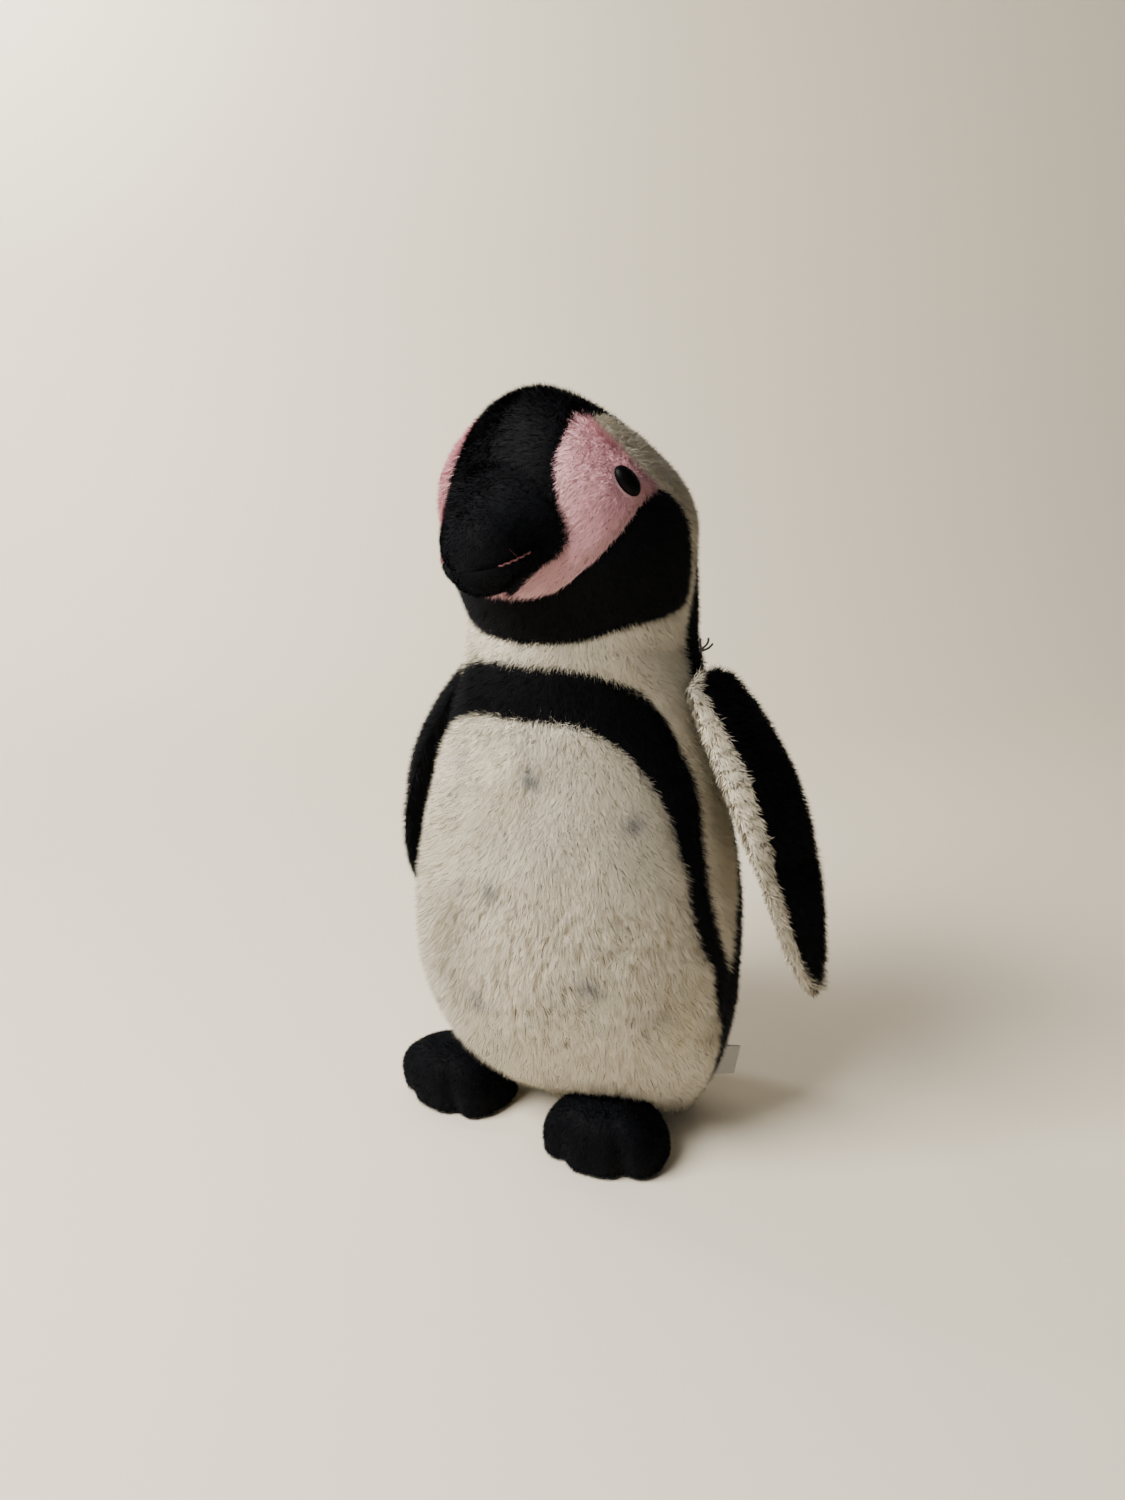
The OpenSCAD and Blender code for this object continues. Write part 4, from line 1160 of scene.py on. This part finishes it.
def build_stage(settings, materials):
    """Paper sweep, window light from the left, a light on the paper behind, dim fill light and the camera."""
    turn = radians(CAMERA_TURN)
    right = np.array([np.cos(turn), np.sin(turn), 0])
    away = np.array([-np.sin(turn), np.cos(turn), 0])
    s = np.linspace(0, 1, 90)
    flat, radius = 0.75, 0.5
    bend = np.clip((s - 0.5) / 0.25, 0, 1) * np.pi / 2
    forward = np.where(s < 0.5, -1.2 + (1.2 + flat) * s / 0.5, flat + radius * np.sin(bend))
    height = radius * (1 - np.cos(bend)) + np.clip((s - 0.75) / 0.25, 0, 1) * 2.2
    across_width = np.linspace(-2.2, 2.2, 30)
    p = (forward[:, None, None] * away + across_width[None, :, None] * right)
    p[..., 2] = height[:, None]
    floor = new_object("paper_sweep", p.reshape(-1, 3) / MM, [grid_faces(90, 30)[:, ::-1]],
                       materials["sweep_paper"])
    face_up(floor)
    target = np.array([0, 0, 0.13])
    wall = -0.8 * right + 1.25 * away + np.array([0, 0, 0.8])
    lamps = [
        area_lamp("window", -0.64 * right - 0.42 * away + np.array([0, 0, 0.8]), target, 0.6,
                  settings.window_light, (1.0, 0.955, 0.875)),
        area_lamp("wall_light", -1.0 * right + 0.6 * away + np.array([0, 0, 1.2]), wall, 0.5,
                  settings.wall_light, (1.0, 0.96, 0.89)),
        area_lamp("room_fill", 0.9 * right - 1.3 * away + np.array([0, 0, 0.9]), target, 1.4,
                  settings.fill_light, (1.0, 0.96, 0.92)),
    ]
    world = bpy.data.worlds.new("room")
    world.use_nodes = True
    world.node_tree.nodes["Background"].inputs["Color"].default_value = (1.0, 0.98, 0.95, 1)
    world.node_tree.nodes["Background"].inputs["Strength"].default_value = settings.room_light
    bpy.context.scene.world = world
    data = bpy.data.cameras.new("camera")
    data.sensor_width = 36
    data.lens = CAMERA_LENS
    camera = bpy.data.objects.new("camera", data)
    camera.location = CAMERA_AT
    camera.rotation_euler = (radians(CAMERA_TILT), 0, turn)
    bpy.context.scene.collection.objects.link(camera)
    bpy.context.scene.camera = camera


def face_up(o):
    """Turns the faces of a floor upwards."""
    if sum(f.normal.z * f.area for f in o.data.polygons) < 0:
        o.data.flip_normals()


# ---- add-on


def metres(name, description, default):
    """A length setting."""
    return bpy.props.FloatProperty(name=name, description=description, default=default, unit="LENGTH")


def tilt(name, description, default):
    """An angle setting, from degrees."""
    return bpy.props.FloatProperty(name=name, description=description, default=radians(default),
                                   subtype="ANGLE")


def watts(name, description, default):
    """A light's power."""
    return bpy.props.FloatProperty(name=name, description=description, default=default, unit="POWER", min=0)


class PenguinSettings(bpy.types.PropertyGroup):
    """Sizes of the pile and the small parts, and the light."""

    density: bpy.props.FloatProperty(name="Pile density", description="Share of the full number of tufts",
                                     default=1.0, min=0.05, max=1.3)
    head_pile: metres("Head pile", "Length of the pile on the head", 0.0040)
    body_pile: metres("Body pile", "Length of the pile on the body", 0.0050)
    belly_pile: metres("Belly pile", "Length of the pile low on the belly", 0.0068)
    wing_pile: metres("Wing pile", "Length of the pile on the wings", 0.0048)
    velour_pile: metres("Velour pile", "Length of the velour's pile on the beak", 0.0013)
    eye_half_width: metres("Eye half width", "Half the width of an eye", EYE_HALF_W * MM)
    eye_half_height: metres("Eye half height", "Half the height of an eye", EYE_HALF_H * MM)
    left_wing_rest: tilt("Left wing", "Angle of the left wing from straight down", 20)
    right_wing_rest: tilt("Right wing", "Angle of the right wing from straight down", 23)
    left_foot_out: metres("Left foot", "Distance of the left foot from the middle", 0.028)
    right_foot_out: metres("Right foot", "Distance of the right foot from the middle", 0.038)
    label_width: metres("Label width", "Width of the ribbon", 0.012)
    label_length: metres("Label length", "Length of the folded ribbon", 0.015)
    window_light: watts("Window light", "Power of the window light", 27.0)
    wall_light: watts("Wall light", "Power of the light on the paper behind", 30.0)
    fill_light: watts("Fill light", "Power of the fill light", 0.2)
    room_light: bpy.props.FloatProperty(name="Room light", description="Strength of the even light",
                                        default=0.11)


MATERIALS = {}


def operator(idname, label, doc, work):
    """An operator class that runs one building step."""
    def execute(self, context):
        if not MATERIALS:
            MATERIALS.update(make_materials())
        work(context.scene.penguin, MATERIALS)
        return {"FINISHED"}

    return type("PENGUIN_OT_" + idname, (bpy.types.Operator,), {
        "bl_idname": "penguin." + idname, "bl_label": label, "__doc__": doc, "execute": execute})


STEPS = [
    operator("body", "Body fabric", "Belly, chest band, flanks and back", build_body),
    operator("head", "Head fabric", "Crown, nape, cheeks, brows and jaws", build_head),
    operator("beak", "Beak", "Velour beak and mouth thread", build_beak),
    operator("eyes", "Eyes", "Two oval plastic eyes", build_eyes),
    operator("wings", "Wings", "Outer and inner fabric of both wings", build_wings),
    operator("feet", "Feet", "Velour uppers and soles", build_feet),
    operator("trim", "Trim", "Base cloth, ribbon and thread ends", build_trim),
    operator("cad", "CAD pieces", "Materials of the CAD pieces that stay in view", dress_cad_nodes),
    operator("stage", "Stage", "Paper sweep, lights and camera", build_stage),
]


class PENGUIN_PT_panel(bpy.types.Panel):
    """Buttons for the building steps and the sizes."""

    bl_label = "Plush penguin"
    bl_space_type = "VIEW_3D"
    bl_region_type = "UI"
    bl_category = "Penguin"

    def draw(self, context):
        for cls in STEPS:
            self.layout.operator(cls.bl_idname)
        for name in PenguinSettings.__annotations__:
            self.layout.prop(context.scene.penguin, name)


CLASSES = [PenguinSettings, *STEPS, PENGUIN_PT_panel]


def register():
    for cls in CLASSES:
        bpy.utils.register_class(cls)
    bpy.types.Scene.penguin = bpy.props.PointerProperty(type=PenguinSettings)


def unregister():
    del bpy.types.Scene.penguin
    for cls in reversed(CLASSES):
        bpy.utils.unregister_class(cls)


def main():
    """Builds everything in order and writes the size of the CAD and of the visual model."""
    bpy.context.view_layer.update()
    register()
    for cls in STEPS:
        group, name = cls.bl_idname.split(".")
        getattr(getattr(bpy.ops, group), name)()


if __name__ == "__main__":
    main()
